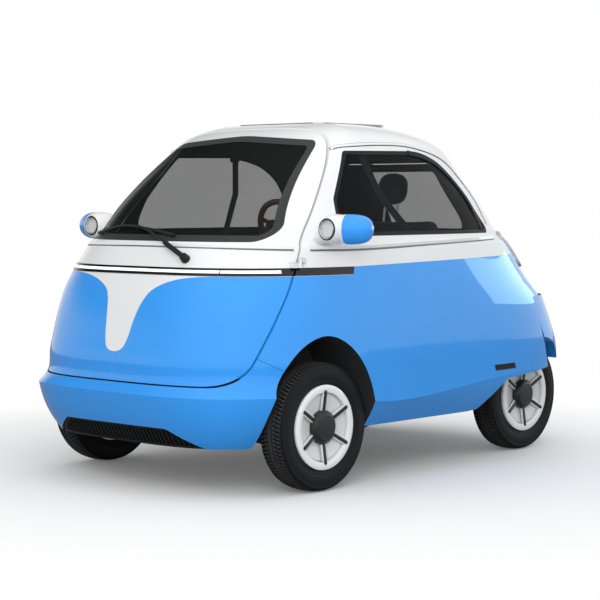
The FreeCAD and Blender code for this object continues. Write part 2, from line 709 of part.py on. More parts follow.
def floor_pan(nodes):
    """The pressed floor: foot well, step up over the drive, and the front wheel housings."""
    thick = FLOOR_THICKNESS
    step = FLOOR_STEP_Y - FRONT_AXLE_Y
    rear = step + 560
    toe = DOOR_BOTTOM_Z - 20
    pan = across(side_polygon((
        (-430, FLOOR_Z), (step + thick, FLOOR_Z), (step + thick, REAR_FLOOR_Z), (rear, REAR_FLOOR_Z),
        (rear, REAR_FLOOR_Z + thick), (step, REAR_FLOOR_Z + thick), (step, FLOOR_Z + thick),
        (-400, FLOOR_Z + thick), (-400, toe), (-430, toe))), 0)
    housing = across(arch_wire(LINER_WALL + 2), LINER_X, HALF_WIDTH)
    housing = housing.cut(box(0, 900, NOSE_Y, TAIL_Y, 0, FLOOR_Z))
    pan = pan.fuse(housing).cut(across(arch_wire(2), LINER_X + LINER_WALL))
    pan = biggest(pan.common(filled(skins(BODY_WALL + SEAT_GAP, SILL_ROWS, WAIST_ROWS))))
    for x, y in JACK_POINTS:
        pan = pan.fuse(rod(Vector(x, y, FLOOR_Z - JACK_PAD_HEIGHT), Vector(x, y, FLOOR_Z + 1), JACK_PAD_RADIUS))
    nodes["floor_pan"] = whole(pan)


def tyre(centre_x, y):
    half = TYRE_WIDTH / 2
    bead = RIM_RADIUS
    profile = ((-half + 14, bead), (half - 14, bead), (half - 11, bead + 20), (half, bead + 55),
               (half - 14, TYRE_RADIUS), (-half + 14, TYRE_RADIUS), (-half, bead + 55), (-half + 11, bead + 20))
    wire = rounded_wire([(Vector(px, 0, r), 12.0) for px, r in profile])
    shape = Part.Face(wire).revolve(Vector(0, 0, 0), Vector(1, 0, 0), 360)
    shape.translate(Vector(centre_x, y, AXLE_Z))
    return shape


def revolved(profile):
    """A body round the X axis through (distance along it, radius) points."""
    points = [Vector(x, 0, radius) for x, radius in profile]
    return Part.Face(Part.makePolygon(points + points[:1])).revolve(Vector(0, 0, 0), Vector(1, 0, 0), 360)


def ribs(profile, width):
    """Six radial bars of one section, seen as (distance along the axle, radius) points."""
    points = [Vector(x, -width / 2, radius) for x, radius in profile]
    bar = Part.Face(Part.makePolygon(points + points[:1])).extrude(Vector(0, width, 0))
    bars = []
    for i in range(6):
        bars.append(bar.copy())
        bars[-1].rotate(Vector(0, 0, 0), Vector(1, 0, 0), 60 * i)
    return bars


def rim(centre_x, y, side):
    """A barrel, and a cover whose broad flat ring stands round a sunk dish with six ribs."""
    seat = RIM_RADIUS - SEAT_GAP
    profile = ((-48, seat), (50, seat), (52, 173), (62, 174), (COVER_FACE, 168), (COVER_FACE, 142),
               (52, 141), (42, 80), (42, 0), (8, 0), (8, 52), (24, 80), (34, 146), (-48, 150))
    shape = revolved(profile).fuse(ribs(((30, 50), (52, 50), (COVER_FACE - 3, 145), (30, 145)), 27.0))
    return place_wheel(shape.cut(star(SEAT_GAP)), centre_x, y, side)


def star(grow):
    """The dark hub cap and its six thin spokes."""
    cap = revolved(((54 - grow, 0), (54 - grow, 70 + grow), (60, 70 + grow), (73, 52), (73, 0)))
    low, high = COVER_FACE - 15, COVER_FACE - 5
    section = ((low - grow, 45), (low + 8, 45), (high + 7, 153 + grow), (high - grow, 153 + grow))
    return cap.fuse(ribs(section, 15.0 + 2 * grow)).removeSplitter()


def place_wheel(shape, centre_x, y, side):
    if side < 0:
        shape = mirrored(shape)
    shape.translate(Vector(centre_x, y, AXLE_Z))
    return shape


def wheels(nodes):
    axles = (("front", FRONT_TRACK / 2, FRONT_AXLE_Y), ("rear", REAR_TRACK / 2, REAR_AXLE_Y))
    for axle, half_track, y in axles:
        for side, hand in zip(SIDES, ("left", "right")):
            name = axle + "_" + hand
            nodes["tyre_" + name] = tyre(side * half_track, y)
            nodes["wheel_" + name] = rim(side * half_track, y, side)
            nodes["hubcap_" + name] = place_wheel(star(0.0), side * half_track, y, side)


def knuckle(nodes):
    """Upright, king pin, stub axle and steering arm of a front wheel."""
    x, y = KINGPIN_X, FRONT_AXLE_Y
    upright = box(x - 16, x + 18, y - 26, y + 26, AXLE_Z - 78, AXLE_Z + 78)
    pin = rod(Vector(x, y, AXLE_Z - ARM_LEVEL - 8), Vector(x, y, AXLE_Z + ARM_LEVEL + 8), KINGPIN_RADIUS)
    stub = rod(Vector(x, y, AXLE_Z), Vector(FRONT_TRACK / 2 + 8 - SEAT_GAP, y, AXLE_Z), 34)
    arm = bent_rod([Vector(x, y, AXLE_Z - 40), Vector(x - 26, y + 60, AXLE_Z - 46),
                    Vector(x - 30, y + 112, AXLE_Z - 46)], 10)
    shape = upright.fuse([pin, stub, arm]).removeSplitter()
    nodes["knuckle_left"] = shape
    nodes["knuckle_right"] = mirrored(shape)


def front_suspension(nodes):
    """Cross member, wishbones that hold the king pins, spring struts and steering rack."""
    y = FRONT_AXLE_Y
    low_z, high_z = AXLE_Z - ARM_LEVEL, AXLE_Z + ARM_LEVEL
    rack_y, rack_z = y + 112, AXLE_Z - 46
    foot_z = low_z + 15
    top_z = ARCH_BASE_Z + ARCH_HEIGHT + 0.7
    inner_ends = ((low_z, 330, FLOOR_Z - 60, 70), (high_z, LINER_X + LINER_WALL + SEAT_GAP, high_z, 45))
    pieces = [box(-360, 360, y - 60, y + 60, FLOOR_Z - 74, FLOOR_Z)]
    for side in SIDES:
        pin_x, strut_x = side * KINGPIN_X, side * STRUT_X
        for z, inner_x, inner_z, spread in inner_ends:
            for lead in (-1, 1):
                inner = Vector(side * inner_x, y + lead * spread, inner_z)
                pieces.append(rod(inner, Vector(pin_x, y, z), 9))
            pieces.append(rod(Vector(pin_x, y, z - 8), Vector(pin_x, y, z + 8), 22))
        pieces.append(rod(Vector(strut_x, y - 34, foot_z), Vector(strut_x, y + 34, foot_z), 10))
        pieces.append(rod(Vector(strut_x, y, foot_z), Vector(strut_x, y, top_z), 16))
        pieces.append(rod(Vector(strut_x, y, foot_z + 110), Vector(strut_x, y, top_z - 20), 30))
        pieces.append(rod(Vector(side * 300, rack_y, rack_z), Vector(side * 505, rack_y, rack_z), 8))
        pieces.append(box(side * 200, side * 240, y + 55, y + 120, FLOOR_Z - 60, FLOOR_Z))
    pieces.append(rod(Vector(-300, rack_y, rack_z), Vector(300, rack_y, rack_z), 20))
    shape = pieces[0].fuse(pieces[1:])
    for side in SIDES:
        eye = rod(Vector(side * KINGPIN_X, y, 0), Vector(side * KINGPIN_X, y, 600), KINGPIN_RADIUS + PIN_GAP)
        shape = shape.cut(eye)
    liner = LINER_X + LINER_WALL + SEAT_GAP
    shape = shape.cut(box(-liner, liner, y - 120, y + 120, high_z - 30, high_z + 30))
    nodes["front_suspension"] = biggest(shape)


def rear_suspension(nodes):
    """A drive axle tube on two trailing arms, with spring struts up to the floor."""
    y = REAR_AXLE_Y
    hub_x = REAR_TRACK / 2 + 8 - SEAT_GAP
    pieces = []
    for side in SIDES:
        pieces.append(rod(Vector(side * 139, y, AXLE_Z), Vector(side * hub_x, y, AXLE_Z), 30))
        pieces.append(rod(Vector(side * 385, y, AXLE_Z), Vector(side * 300, FLOOR_STEP_Y + 30, FLOOR_Z + 40), 22))
        pieces.append(rod(Vector(side * 385, y - 30, AXLE_Z), Vector(side * 385, y - 30, REAR_FLOOR_Z), 18))
        pieces.append(rod(Vector(side * 385, y - 30, AXLE_Z + 90), Vector(side * 385, y - 30, REAR_FLOOR_Z), 34))
    floor_step = box(-HALF_WIDTH, HALF_WIDTH, FLOOR_STEP_Y - 100, FLOOR_STEP_Y + FLOOR_THICKNESS + SEAT_GAP,
                     0, REAR_FLOOR_Z)
    half_axles = [pieces[i].fuse(pieces[i + 1:i + 4]).cut(floor_step).removeSplitter() for i in (0, 4)]
    nodes["rear_suspension"] = Part.makeCompound(half_axles)


def drive_motor(nodes):
    y = REAR_AXLE_Y
    nodes["drive_motor"] = box(-138.7, 138.7, y - 150, y + 130, AXLE_Z - 70, REAR_FLOOR_Z - SEAT_GAP)


def battery_case(nodes):
    y = FRONT_AXLE_Y
    low = FLOOR_Z + FLOOR_THICKNESS + SEAT_GAP
    half = HALF_WIDTH - 216
    nodes["battery_case"] = box(-half, half, y + 400, FLOOR_STEP_Y - 4, low, low + BATTERY_HEIGHT)


def seats(nodes):
    """A bench for two, with a raked back and two small head rests on posts."""
    half, front, rear, thick = HALF_WIDTH - 196, FRONT_AXLE_Y + 380, FRONT_AXLE_Y + 810, 150.0
    base = FLOOR_Z + FLOOR_THICKNESS + BATTERY_HEIGHT + 2 * SEAT_GAP
    cushion = box(-half, half, front, rear, base, base + thick)
    upper = [e for e in cushion.Edges if e.BoundBox.ZMin > base + thick - 1]
    nodes["seat_cushion"] = cushion.makeFillet(40, upper)

    depth, height, lean, rest_x = 100.0, 672.0, 8.0, 250.0
    back = box(-half, half, rear, rear + depth, base, base + height)
    back = back.makeFillet(30, [e for e in back.Edges if e.BoundBox.ZMin > base + height - 1])
    pieces = []
    for side in SIDES:
        middle = side * rest_x
        low = base + height + 50
        rest = box(middle - 85, middle + 85, rear + 15, rear + 85, low, low + 155)
        pieces.append(rest.makeFillet(30, [e for e in rest.Edges if e.BoundBox.YLength > 60]))
        for x in (middle - 36, middle + 36):
            pieces.append(rod(Vector(x, rear + 50, base + height - 20), Vector(x, rear + 50, low + 20), 6))
    seat_back = back.fuse(pieces).removeSplitter()
    seat_back.rotate(Vector(0, rear, base), Vector(1, 0, 0), -lean)
    seat_back.translate(Vector(0, SEAT_GAP, 0))
    nodes["seat_back"] = seat_back.cut(box(-900, 900, rear, rear + 300, 0, base))


def steering(nodes):
    """A raked column from the floor to a three-spoke wheel."""
    centre = Vector(WHEEL_X, WHEEL_Y, WHEEL_Z)
    tilt = math.radians(WHEEL_TILT)
    axis = Vector(0, math.cos(tilt), math.sin(tilt))
    floor_top = FLOOR_Z + FLOOR_THICKNESS
    bend = centre - axis * 260
    foot = Vector(WHEEL_X, bend.y - 130, floor_top + SEAT_GAP)
    column = rod(foot, bend, 16).fuse(Part.makeSphere(24, bend))
    column = column.fuse(rod(bend, centre - axis * 55, 24))
    base = box(WHEEL_X - 50, WHEEL_X + 50, foot.y - 45, foot.y + 45, floor_top + SEAT_GAP, floor_top + 12)
    column = column.fuse([base])
    column = column.cut(box(-900, 900, NOSE_Y, TAIL_Y, 0, floor_top + SEAT_GAP))
    nodes["steering_column"] = biggest(column)

    ring = Part.makeTorus(WHEEL_RADIUS - 13, 13, Vector(0, 0, 0), Vector(0, 0, 1))
    hub = rod(Vector(0, 0, -22), Vector(0, 0, 8), 44)
    spokes = []
    for angle in (90, 210, 330):
        turn = math.radians(angle)
        end = Vector(math.cos(turn), math.sin(turn), 0) * (WHEEL_RADIUS - 16)
        spokes.append(rod(Vector(0, 0, -8), end, 9))
    wheel = ring.fuse([hub] + spokes)
    shaft = rod(Vector(0, 0, -54), Vector(0, 0, -20), 12)
    wheel = wheel.fuse(shaft).removeSplitter()
    wheel.Placement = FreeCAD.Placement(centre, FreeCAD.Rotation(Vector(0, 0, 1), axis))
    nodes["steering_wheel"] = wheel


def dash_beam(nodes):
    """A slim padded beam across the inside of the door, with a small screen."""
    beam = box(0, HALF_WIDTH - 176, FRONT_AXLE_Y - 330, FRONT_AXLE_Y - 165, 905, 960)
    beam = whole(biggest(beam.common(filled(skins(BODY_WALL + SEAT_GAP, SILL_ROWS, WAIST_ROWS)))))
    screen = box(60, 280, FRONT_AXLE_Y - 190, FRONT_AXLE_Y - 172, 950, 1040)
    nodes["dash_beam"] = beam.fuse(screen).removeSplitter()


def wiper(nodes):
    """One arm from its pivot under the windscreen, and the blade across the glass."""
    y = FRONT_AXLE_Y
    pivot = Vector(262, y - 349, 947)
    arm = bent_rod([pivot + Vector(0, -14, 0), Vector(205, y - 358, 984), Vector(-75, y - 299, 1063)], 6)
    blade = bent_rod([Vector(-420, y - 246, 1040), Vector(-214, y - 284, 1068), Vector(-60, y - 300, 1062),
                      Vector(149, y - 322, 1036)], 6)
    stem = rod(pivot + Vector(0, 6, 0), pivot + Vector(0, -20, 0), 11)
    nodes["wiper"] = arm.fuse([blade, stem]).cut(nodes["door_frame"]).removeSplitter()


def hatch_hinges(nodes):
    """Two hinges along the top edge of the tailgate, on one crosswise axis."""
    y, z = HATCH_HINGE_Y, HATCH_HINGE_Z
    for side in SIDES:
        x = side * 180.0
        fixed = rod(Vector(x, y, z), Vector(x + 14, y, z), HINGE_BARREL_RADIUS)
        fixed = fixed.fuse(rod(Vector(x - 16, y, z), Vector(x + 14, y, z), HINGE_PIN_RADIUS))
        fixed = fixed.fuse(box(x, x + 14, y - 30, y, z, z + HINGE_BARREL_RADIUS))
        moving = rod(Vector(x - 16, y, z), Vector(x - SEAT_GAP, y, z), HINGE_BARREL_RADIUS)
        moving = moving.fuse(box(x - 16, x - SEAT_GAP, y - 7, y + 4, z - 31, z))
        moving = moving.cut(rod(Vector(x - 20, y, z), Vector(x + 20, y, z), HINGE_PIN_RADIUS + PIN_GAP))
        nodes["hatch"] = nodes["hatch"].fuse(moving)
        nodes["roof_panel"] = nodes["roof_panel"].fuse(fixed)


def build():
    nodes = {}
    shell_panels(nodes)
    rear_bumper(nodes)
    glass_nodes(nodes)
    light_strip(nodes)
    grille(nodes)
    join_halves(nodes)
    door_hinge(nodes)
    hatch_hinges(nodes)
    sunroof(nodes)
    lamp_pods(nodes)
    tail_lamps(nodes)
    floor_pan(nodes)
    wheels(nodes)
    knuckle(nodes)
    front_suspension(nodes)
    rear_suspension(nodes)
    drive_motor(nodes)
    battery_case(nodes)
    seats(nodes)
    steering(nodes)
    dash_beam(nodes)
    wiper(nodes)
    return nodes


os.makedirs("parts", exist_ok=True)
for name, shape in build().items():
    shape.exportStep("parts/" + name + ".step")
    print(name, "solids", len(shape.Solids), "valid", shape.isValid(), "cm3", round(shape.Volume / 1000))
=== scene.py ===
import math

import bmesh
import bpy
from mathutils import Matrix, Vector
from mathutils.bvhtree import BVHTree


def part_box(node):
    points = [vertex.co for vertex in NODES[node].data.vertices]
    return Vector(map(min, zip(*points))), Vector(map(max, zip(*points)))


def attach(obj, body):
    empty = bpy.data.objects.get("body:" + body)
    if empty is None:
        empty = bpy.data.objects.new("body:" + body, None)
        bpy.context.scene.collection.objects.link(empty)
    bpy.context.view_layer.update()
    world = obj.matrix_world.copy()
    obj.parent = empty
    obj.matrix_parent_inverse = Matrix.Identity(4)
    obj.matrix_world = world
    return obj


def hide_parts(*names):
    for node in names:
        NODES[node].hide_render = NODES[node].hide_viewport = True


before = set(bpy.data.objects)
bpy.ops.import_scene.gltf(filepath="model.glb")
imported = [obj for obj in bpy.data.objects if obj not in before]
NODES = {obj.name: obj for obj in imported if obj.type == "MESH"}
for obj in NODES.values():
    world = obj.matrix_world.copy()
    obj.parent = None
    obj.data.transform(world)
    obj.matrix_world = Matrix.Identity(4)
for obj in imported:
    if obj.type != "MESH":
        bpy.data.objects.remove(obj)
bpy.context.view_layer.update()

# Places of the car that the extra pieces follow, in metres.
FRONT_Y, REAR_Y = -0.6945, 0.8715
FRONT_X, REAR_X = 0.639, 0.510
AXLE_Z = 0.264
TYRE_RADIUS = AXLE_Z
# Radii between which a wheel's colour changes: from the cover's dish, painted greyer as painted shade in
# its sunk floor, to its ring, from the tyre's side wall to the depth of the grooves, painted near black
# as painted shade, and from there to the tread blocks, painted paler as a painted highlight.
DISH_SHADE_EDGE, GROOVE_SHADE_EDGE, BLOCK_HIGHLIGHT_EDGE = (0.1410, 0.1418), (0.2485, 0.2515), (0.2570, 0.2600)
# The car's sides as signs of X, and directions in its frame.
SIDES = {"left": 1, "right": -1}
TO_FRONT, TO_REAR, TO_RIGHT, TO_LEFT = (0, -1, 0), (0, 1, 0), (-1, 0, 0), (1, 0, 0)


class Nodes:
    """Short words for building a node tree."""

    def __init__(self, tree):
        self.tree = tree

    def add(self, kind, **settings):
        node = self.tree.nodes.new(kind)
        for key, value in settings.items():
            setattr(node, key, value)
        return node

    def link(self, source, target):
        self.tree.links.new(source, target)

    def math(self, operation, a, b=0.0):
        node = self.add("ShaderNodeMath", operation=operation)
        for socket, value in zip(node.inputs, (a, b)):
            if isinstance(value, (int, float)):
                socket.default_value = value
            else:
                self.link(value, socket)
        return node.outputs[0]

    def span(self, value, low, high, to_low=0.0, to_high=1.0):
        """The value's place between two limits, as a number between two others."""
        node = self.add("ShaderNodeMapRange")
        self.link(value, node.inputs["Value"])
        limits = (("From Min", low), ("From Max", high), ("To Min", to_low), ("To Max", to_high))
        for socket, number in limits:
            node.inputs[socket].default_value = number
        return node.outputs["Result"]

    def axes(self, place):
        node = self.add("ShaderNodeSeparateXYZ")
        self.link(place, node.inputs["Vector"])
        return node.outputs[:3]

    def mix(self, share, first, second):
        """Two surfaces mixed, with the share of the second."""
        node = self.add("ShaderNodeMixShader")
        self.link(share, node.inputs["Fac"])
        self.link(first, node.inputs[1])
        self.link(second, node.inputs[2])
        return node.outputs[0]


class Shader(Nodes):
    """A Principled material and the nodes that feed it."""

    def __init__(self, name, **sockets):
        self.name = name
        self.material = bpy.data.materials.new(name)
        self.material.use_nodes = True
        super().__init__(self.material.node_tree)
        self.surface = self.tree.nodes["Principled BSDF"]
        self.place = self.add("ShaderNodeTexCoord").outputs["Object"]
        self.shade = None
        for socket, value in sockets.items():
            self.surface.inputs[socket.replace("_", " ")].default_value = value

    def feed(self, socket, source):
        self.link(source, self.surface.inputs[socket])

    def texture(self, kind, scale, **settings):
        """A texture node laid out in the object's own coordinates."""
        node = self.add(kind, **settings)
        node.inputs["Scale"].default_value = scale
        self.link(self.place, node.inputs["Vector"])
        return node

    def noise(self, scale, detail=3.0):
        node = self.texture("ShaderNodeTexNoise", scale)
        node.inputs["Detail"].default_value = detail
        return node.outputs["Fac"]

    def inside(self, value, low, high):
        """How far a value lies inside the nearer of two limits."""
        return self.math("MINIMUM", self.math("SUBTRACT", value, low), self.math("SUBTRACT", high, value))

    def blend(self, factor, first, second):
        """Two colours mixed, with the share of the second."""
        node = self.add("ShaderNodeMix", data_type="RGBA")
        colours = [socket for socket in node.inputs if socket.type == "RGBA"]
        self.link(factor, node.inputs["Factor"])
        for socket, value in zip(colours, (first, second)):
            if isinstance(value, tuple):
                socket.default_value = (*value, 1.0)
            else:
                self.link(value, socket)
        return [socket for socket in node.outputs if socket.type == "RGBA"][0]

    def bump(self, height, distance):
        node = self.add("ShaderNodeBump")
        node.inputs["Distance"].default_value = distance
        self.link(height, node.inputs["Height"])
        self.feed("Normal", node.outputs["Normal"])

    def vary(self, colour, amount, scale):
        """The base colour, a little lighter and darker from place to place."""
        low = tuple(c * (1 - amount) for c in colour)
        high = tuple(min(1.0, c * (1 + amount)) for c in colour)
        self.shade = self.blend(self.noise(scale), low, high)
        self.feed("Base Color", self.shade)


BLUE = (0.032, 0.335, 0.92)
WHITE = (0.84, 0.845, 0.85)
COVER_GREY = (0.9, 0.9, 0.905)
# How much a paint varies, and the scale of the noise that varies it.
PAINT_DRIFT, COVER_DRIFT = (0.025, 2.5), (0.02, 9.0)


def paint(name, colour, drift=PAINT_DRIFT):
    """Smooth solid car paint under clear lacquer."""
    shader = Shader(name, Roughness=0.45, Specular_IOR_Level=0.15, Coat_Weight=1.0,
                    Coat_Roughness=0.04, Coat_IOR=1.45)
    shader.vary(colour, *drift)
    shader.bump(shader.noise(420.0, 2.0), 0.00003)
    return shader


# The white tongue on the door: half its width at each height, from its tip up to the light bar.
TONGUE = ((0.567, 0.0), (0.572, 0.030), (0.585, 0.050), (0.605, 0.061), (0.697, 0.083), (0.746, 0.096),
          (0.790, 0.115), (0.815, 0.135), (0.841, 0.180), (0.862, 0.245), (0.873, 0.310), (0.881, 0.46))
TONGUE_WIDEST, TONGUE_EDGE = 0.5, 0.0005


def door_paint():
    """Blue paint with the white tongue that hangs from the light bar to a rounded tip."""
    shader = paint("paint_door", BLUE)
    white = shader.blend(shader.noise(PAINT_DRIFT[1]), tuple(c * 0.98 for c in WHITE), WHITE)
    x, _, z = shader.axes(shader.place)
    (low, _), (high, last_half) = TONGUE[0], TONGUE[-1]
    curve = shader.add("ShaderNodeFloatCurve")
    points = curve.mapping.curves[0].points
    points[0].location = (0.0, 0.0)
    points[1].location = (1.0, last_half / TONGUE_WIDEST)
    for height, half in TONGUE[1:-1]:
        points.new((height - low) / (high - low), half / TONGUE_WIDEST)
    curve.mapping.update()
    shader.link(shader.span(z, low, high), curve.inputs["Value"])
    half_width = shader.math("MULTIPLY", curve.outputs["Value"], TONGUE_WIDEST)
    inside = shader.math("SUBTRACT", half_width, shader.math("ABSOLUTE", x))
    mask = shader.span(inside, -TONGUE_EDGE, TONGUE_EDGE)
    shader.feed("Base Color", shader.blend(mask, shader.shade, white))
    return shader


def plastic(name, colour, roughness, grain=1200.0, depth=0.00008, shine=0.5):
    """Moulded plastic with a fine grain of this scale and depth."""
    shader = Shader(name, Roughness=roughness, Specular_IOR_Level=shine)
    shader.vary(colour, 0.12, 30.0)
    shader.bump(shader.noise(grain, 2.0), depth)
    return shader


def rubber(name, roughness):
    """Dull black rubber."""
    shader = Shader(name, Roughness=roughness, Specular_IOR_Level=0.25)
    shader.vary((0.012, 0.012, 0.013), 0.25, 60.0)
    shader.bump(shader.noise(900.0, 4.0), 0.00012)
    return shader


def wheel_radius(shader):
    """Distance from the nearer axle, seen from the side."""
    _, y, z = shader.axes(shader.place)
    middle, half = (FRONT_Y + REAR_Y) / 2, (REAR_Y - FRONT_Y) / 2
    from_middle = shader.math("ABSOLUTE", shader.math("SUBTRACT", y, middle))
    across = shader.math("SUBTRACT", from_middle, half)
    up = shader.math("SUBTRACT", z, AXLE_Z)
    squares = shader.math("ADD", shader.math("POWER", across, 2.0), shader.math("POWER", up, 2.0))
    return shader.math("SQRT", squares)


def cover_paint():
    """Wheel cover paint: a pale outer ring round a dish painted greyer as painted shade in its sunk
    floor.
    """
    shader = paint("wheel_grey", COVER_GREY, COVER_DRIFT)
    # Painted shade: the sunk dish is painted greyer than the ring.
    dish = shader.blend(shader.noise(COVER_DRIFT[1]), (0.72, 0.72, 0.725), (0.76, 0.76, 0.765))
    mask = shader.span(wheel_radius(shader), *DISH_SHADE_EDGE)
    shader.feed("Base Color", shader.blend(mask, dish, shader.shade))
    return shader


def tyre_rubber():
    """Rubber with painted light: the tread blocks painted paler as a painted highlight, and the grooves
    painted near black as painted shade.
    """
    shader = rubber("tyre", 0.6)
    radius = wheel_radius(shader)
    wall = shader.blend(shader.noise(60.0), (0.005, 0.005, 0.0055), (0.008, 0.008, 0.0085))
    # Painted shade: the grooves are painted near black.
    groove = shader.blend(shader.span(radius, *GROOVE_SHADE_EDGE), wall, (0.002, 0.002, 0.002))
    # Painted highlight: the tread blocks are painted paler than the side wall.
    block = shader.blend(shader.noise(150.0), (0.026, 0.026, 0.027), (0.040, 0.040, 0.041))
    shader.feed("Base Color", shader.blend(shader.span(radius, *BLOCK_HIGHLIGHT_EDGE), groove, block))
    return shader


def glass(name, tint, dim):
    """A smoked pane, seen through straight: each of its two faces holds back a share of the light."""
    shader = Shader(name, Roughness=0.02, Alpha=dim, Specular_IOR_Level=0.12)
    shader.vary(tint, 0.08, 1.5)
    return shader


def lens(name, tint):
    """Clear moulded plastic with fine flutes, its pale colour a painted reflection of the reflector
    behind it.
    """
    shader = Shader(name, Roughness=0.05, Transmission_Weight=0.3, IOR=1.3)
    # Painted reflection: the pale base colour stands in for the bright reflector seen through the lens.
    shader.vary(tint, 0.012, 20.0)
    flutes = shader.texture("ShaderNodeTexWave", 110.0, bands_direction="X")
    shader.bump(flutes.outputs["Fac"], 0.0003)
    return shader


def metal(name, colour, roughness):
    """Bare metal, a little uneven."""
    shader = Shader(name, Roughness=roughness, Metallic=1.0)
    shader.vary(colour, 0.06, 25.0)
    shader.bump(shader.noise(500.0), 0.00003)
    return shader


def cloth(name, colour, threads=80.0):
    """Woven cloth: two crossed sets of threads, and a soft sheen."""
    shader = Shader(name, Roughness=0.85, Sheen_Weight=0.25, Sheen_Roughness=0.5)
    shader.vary(colour, 0.2, 14.0)
    waves = []
    for direction in ("X", "Z"):
        wave = shader.texture("ShaderNodeTexWave", threads, bands_direction=direction)
        wave.inputs["Distortion"].default_value = 0.6
        waves.append(wave.outputs["Fac"])
    shader.bump(shader.math("MAXIMUM", *waves), 0.0004)
    return shader


def leather(name, colour):
    """Leather with a fine grain of cells."""
    shader = Shader(name, Roughness=0.45, Coat_Weight=0.15)
    shader.vary(colour, 0.18, 35.0)
    cells = shader.texture("ShaderNodeTexVoronoi", 650.0, feature="DISTANCE_TO_EDGE")
    shader.bump(shader.span(cells.outputs["Distance"], 0.0, 0.12), 0.00012)
    return shader


def sunroof_skin():
    """A pale glazed roof panel with a grey seal along its edge."""
    shader = Shader("sunroof", Roughness=0.22, Coat_Weight=0.6, Coat_Roughness=0.05)
    shader.vary((0.56, 0.565, 0.57), 0.03, 6.0)
    x, y, _ = shader.axes(shader.place)
    low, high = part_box("sunroof")
    from_edge = shader.math("MINIMUM", shader.inside(x, low.x, high.x), shader.inside(y, low.y, high.y))
    mask = shader.span(from_edge, 0.004, 0.005)
    shader.feed("Base Color", shader.blend(mask, (0.20, 0.20, 0.205), shader.shade))
    return shader


def tail_lamp_lens():
    """A clear upright lens with grey end caps, and a red reflector on its inner half."""
    shader = Shader("tail_lamp", Roughness=0.1, Coat_Weight=1.0, Coat_Roughness=0.03)
    x, _, z = shader.axes(shader.place)
    low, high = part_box("tail_lamps")
    stripes = shader.texture("ShaderNodeTexWave", 60.0, bands_direction="Z").outputs["Fac"]
    clear = shader.blend(stripes, (0.34, 0.43, 0.52), (0.60, 0.69, 0.77))
    red = shader.blend(stripes, (0.30, 0.006, 0.008), (0.45, 0.012, 0.014))
    outer_half = shader.span(shader.math("ABSOLUTE", x), high.x - 0.036, high.x - 0.034)
    between_caps = shader.span(shader.inside(z, low.z, high.z), 0.017, 0.018)
    lit = shader.blend(outer_half, red, clear)
    shader.feed("Base Color", shader.blend(between_caps, (0.30, 0.30, 0.31), lit))
    shader.bump(stripes, 0.0004)
    return shader


def glow(name, colour, strength):
    """A light guide that looks lit."""
    shader = Shader(name, Roughness=0.3, Emission_Strength=strength)
    shader.vary(colour, 0.03, 40.0)
    shader.feed("Emission Color", shader.shade)
    return shader


SHADERS = (
    paint("paint_blue", BLUE),
    paint("paint_white", WHITE),
    door_paint(),
    plastic("trim_black", (0.010, 0.010, 0.011), 0.45, shine=0.3),
    # a grey that paints the shadow under the crease's lip
    plastic("crease_grey", (0.16, 0.16, 0.165), 0.5),
    plastic("gloss_black", (0.008, 0.008, 0.009), 0.12, 300.0, 0.00001),
    plastic("frit", (0.036, 0.037, 0.038), 0.4, 500.0, 0.00002, 0.25),
    sunroof_skin(),
    glass("glass_clear", (0.012, 0.013, 0.013), 0.32),
    glass("glass_tinted", (0.010, 0.011, 0.012), 0.34),
    rubber("seal_black", 0.62),
    tyre_rubber(),
    cover_paint(),
    plastic("hub_black", (0.014, 0.014, 0.015), 0.38),
    plastic("chassis_black", (0.02, 0.02, 0.022), 0.5),
    metal("cast_metal", (0.22, 0.22, 0.23), 0.5),
    plastic("floor_grey", (0.03, 0.031, 0.033), 0.7, 400.0, 0.0004),
    cloth("seat_grey", (0.035, 0.036, 0.04)),
    plastic("lining", (0.022, 0.022, 0.024), 0.8, 500.0, 0.0003),
    tail_lamp_lens(),
    plastic("plate_white", (0.74, 0.74, 0.73), 0.35, 300.0, 0.00002),
    cloth("webbing", (0.018, 0.018, 0.02), 160.0),
    plastic("dash_grey", (0.03, 0.031, 0.033), 0.6, 900.0, 0.0002),
    leather("wheel_brown", (0.16, 0.065, 0.022)),
    lens("lamp_clear", (0.93, 0.94, 0.95)),
    plastic("lamp_red", (0.35, 0.008, 0.008), 0.12, 200.0, 0.0001),
    metal("mirror", (0.88, 0.89, 0.9), 0.02),
    metal("chrome", (0.7, 0.71, 0.72), 0.12),
    glow("lamp_white", (0.92, 0.94, 0.96), 0.55),
)
MATERIALS = {shader.name: shader.material for shader in SHADERS}

NODE_MATERIALS = {
    "side_panels": "paint_blue", "belt_panels": "paint_white", "roof_panel": "paint_white",
    "sunroof": "sunroof", "front_bumper": "paint_blue", "front_grille": "trim_black",
    "rear_bumper": "paint_blue", "side_windows": "glass_tinted",
    "side_window_seals": "seal_black", "light_strips": "gloss_black", "lamp_pods": "paint_white",
    "headlamps": "lamp_clear", "mirror_shells": "paint_blue", "mirror_glasses": "mirror",
    "tail_lamps": "tail_lamp", "floor_pan": "floor_grey", "front_suspension": "chassis_black",
    "rear_suspension": "chassis_black", "drive_motor": "cast_metal",
    "battery_case": "floor_grey", "seat_cushion": "seat_grey", "seat_back": "seat_grey",
    "steering_column": "dash_grey", "door_panel": "paint_door", "door_frame": "paint_white",
    "windscreen": "glass_clear", "windscreen_seal": "frit", "door_light_bar": "gloss_black",
    "wiper": "trim_black", "dash_beam": "dash_grey", "hatch": "paint_white",
    "rear_window": "glass_tinted", "rear_window_seal": "seal_black",
    "steering_wheel": "wheel_brown", "knuckle_left": "cast_metal", "knuckle_right": "cast_metal",
}
WHEEL_MATERIALS = {"tyre": "tyre", "wheel": "wheel_grey", "hubcap": "hub_black"}


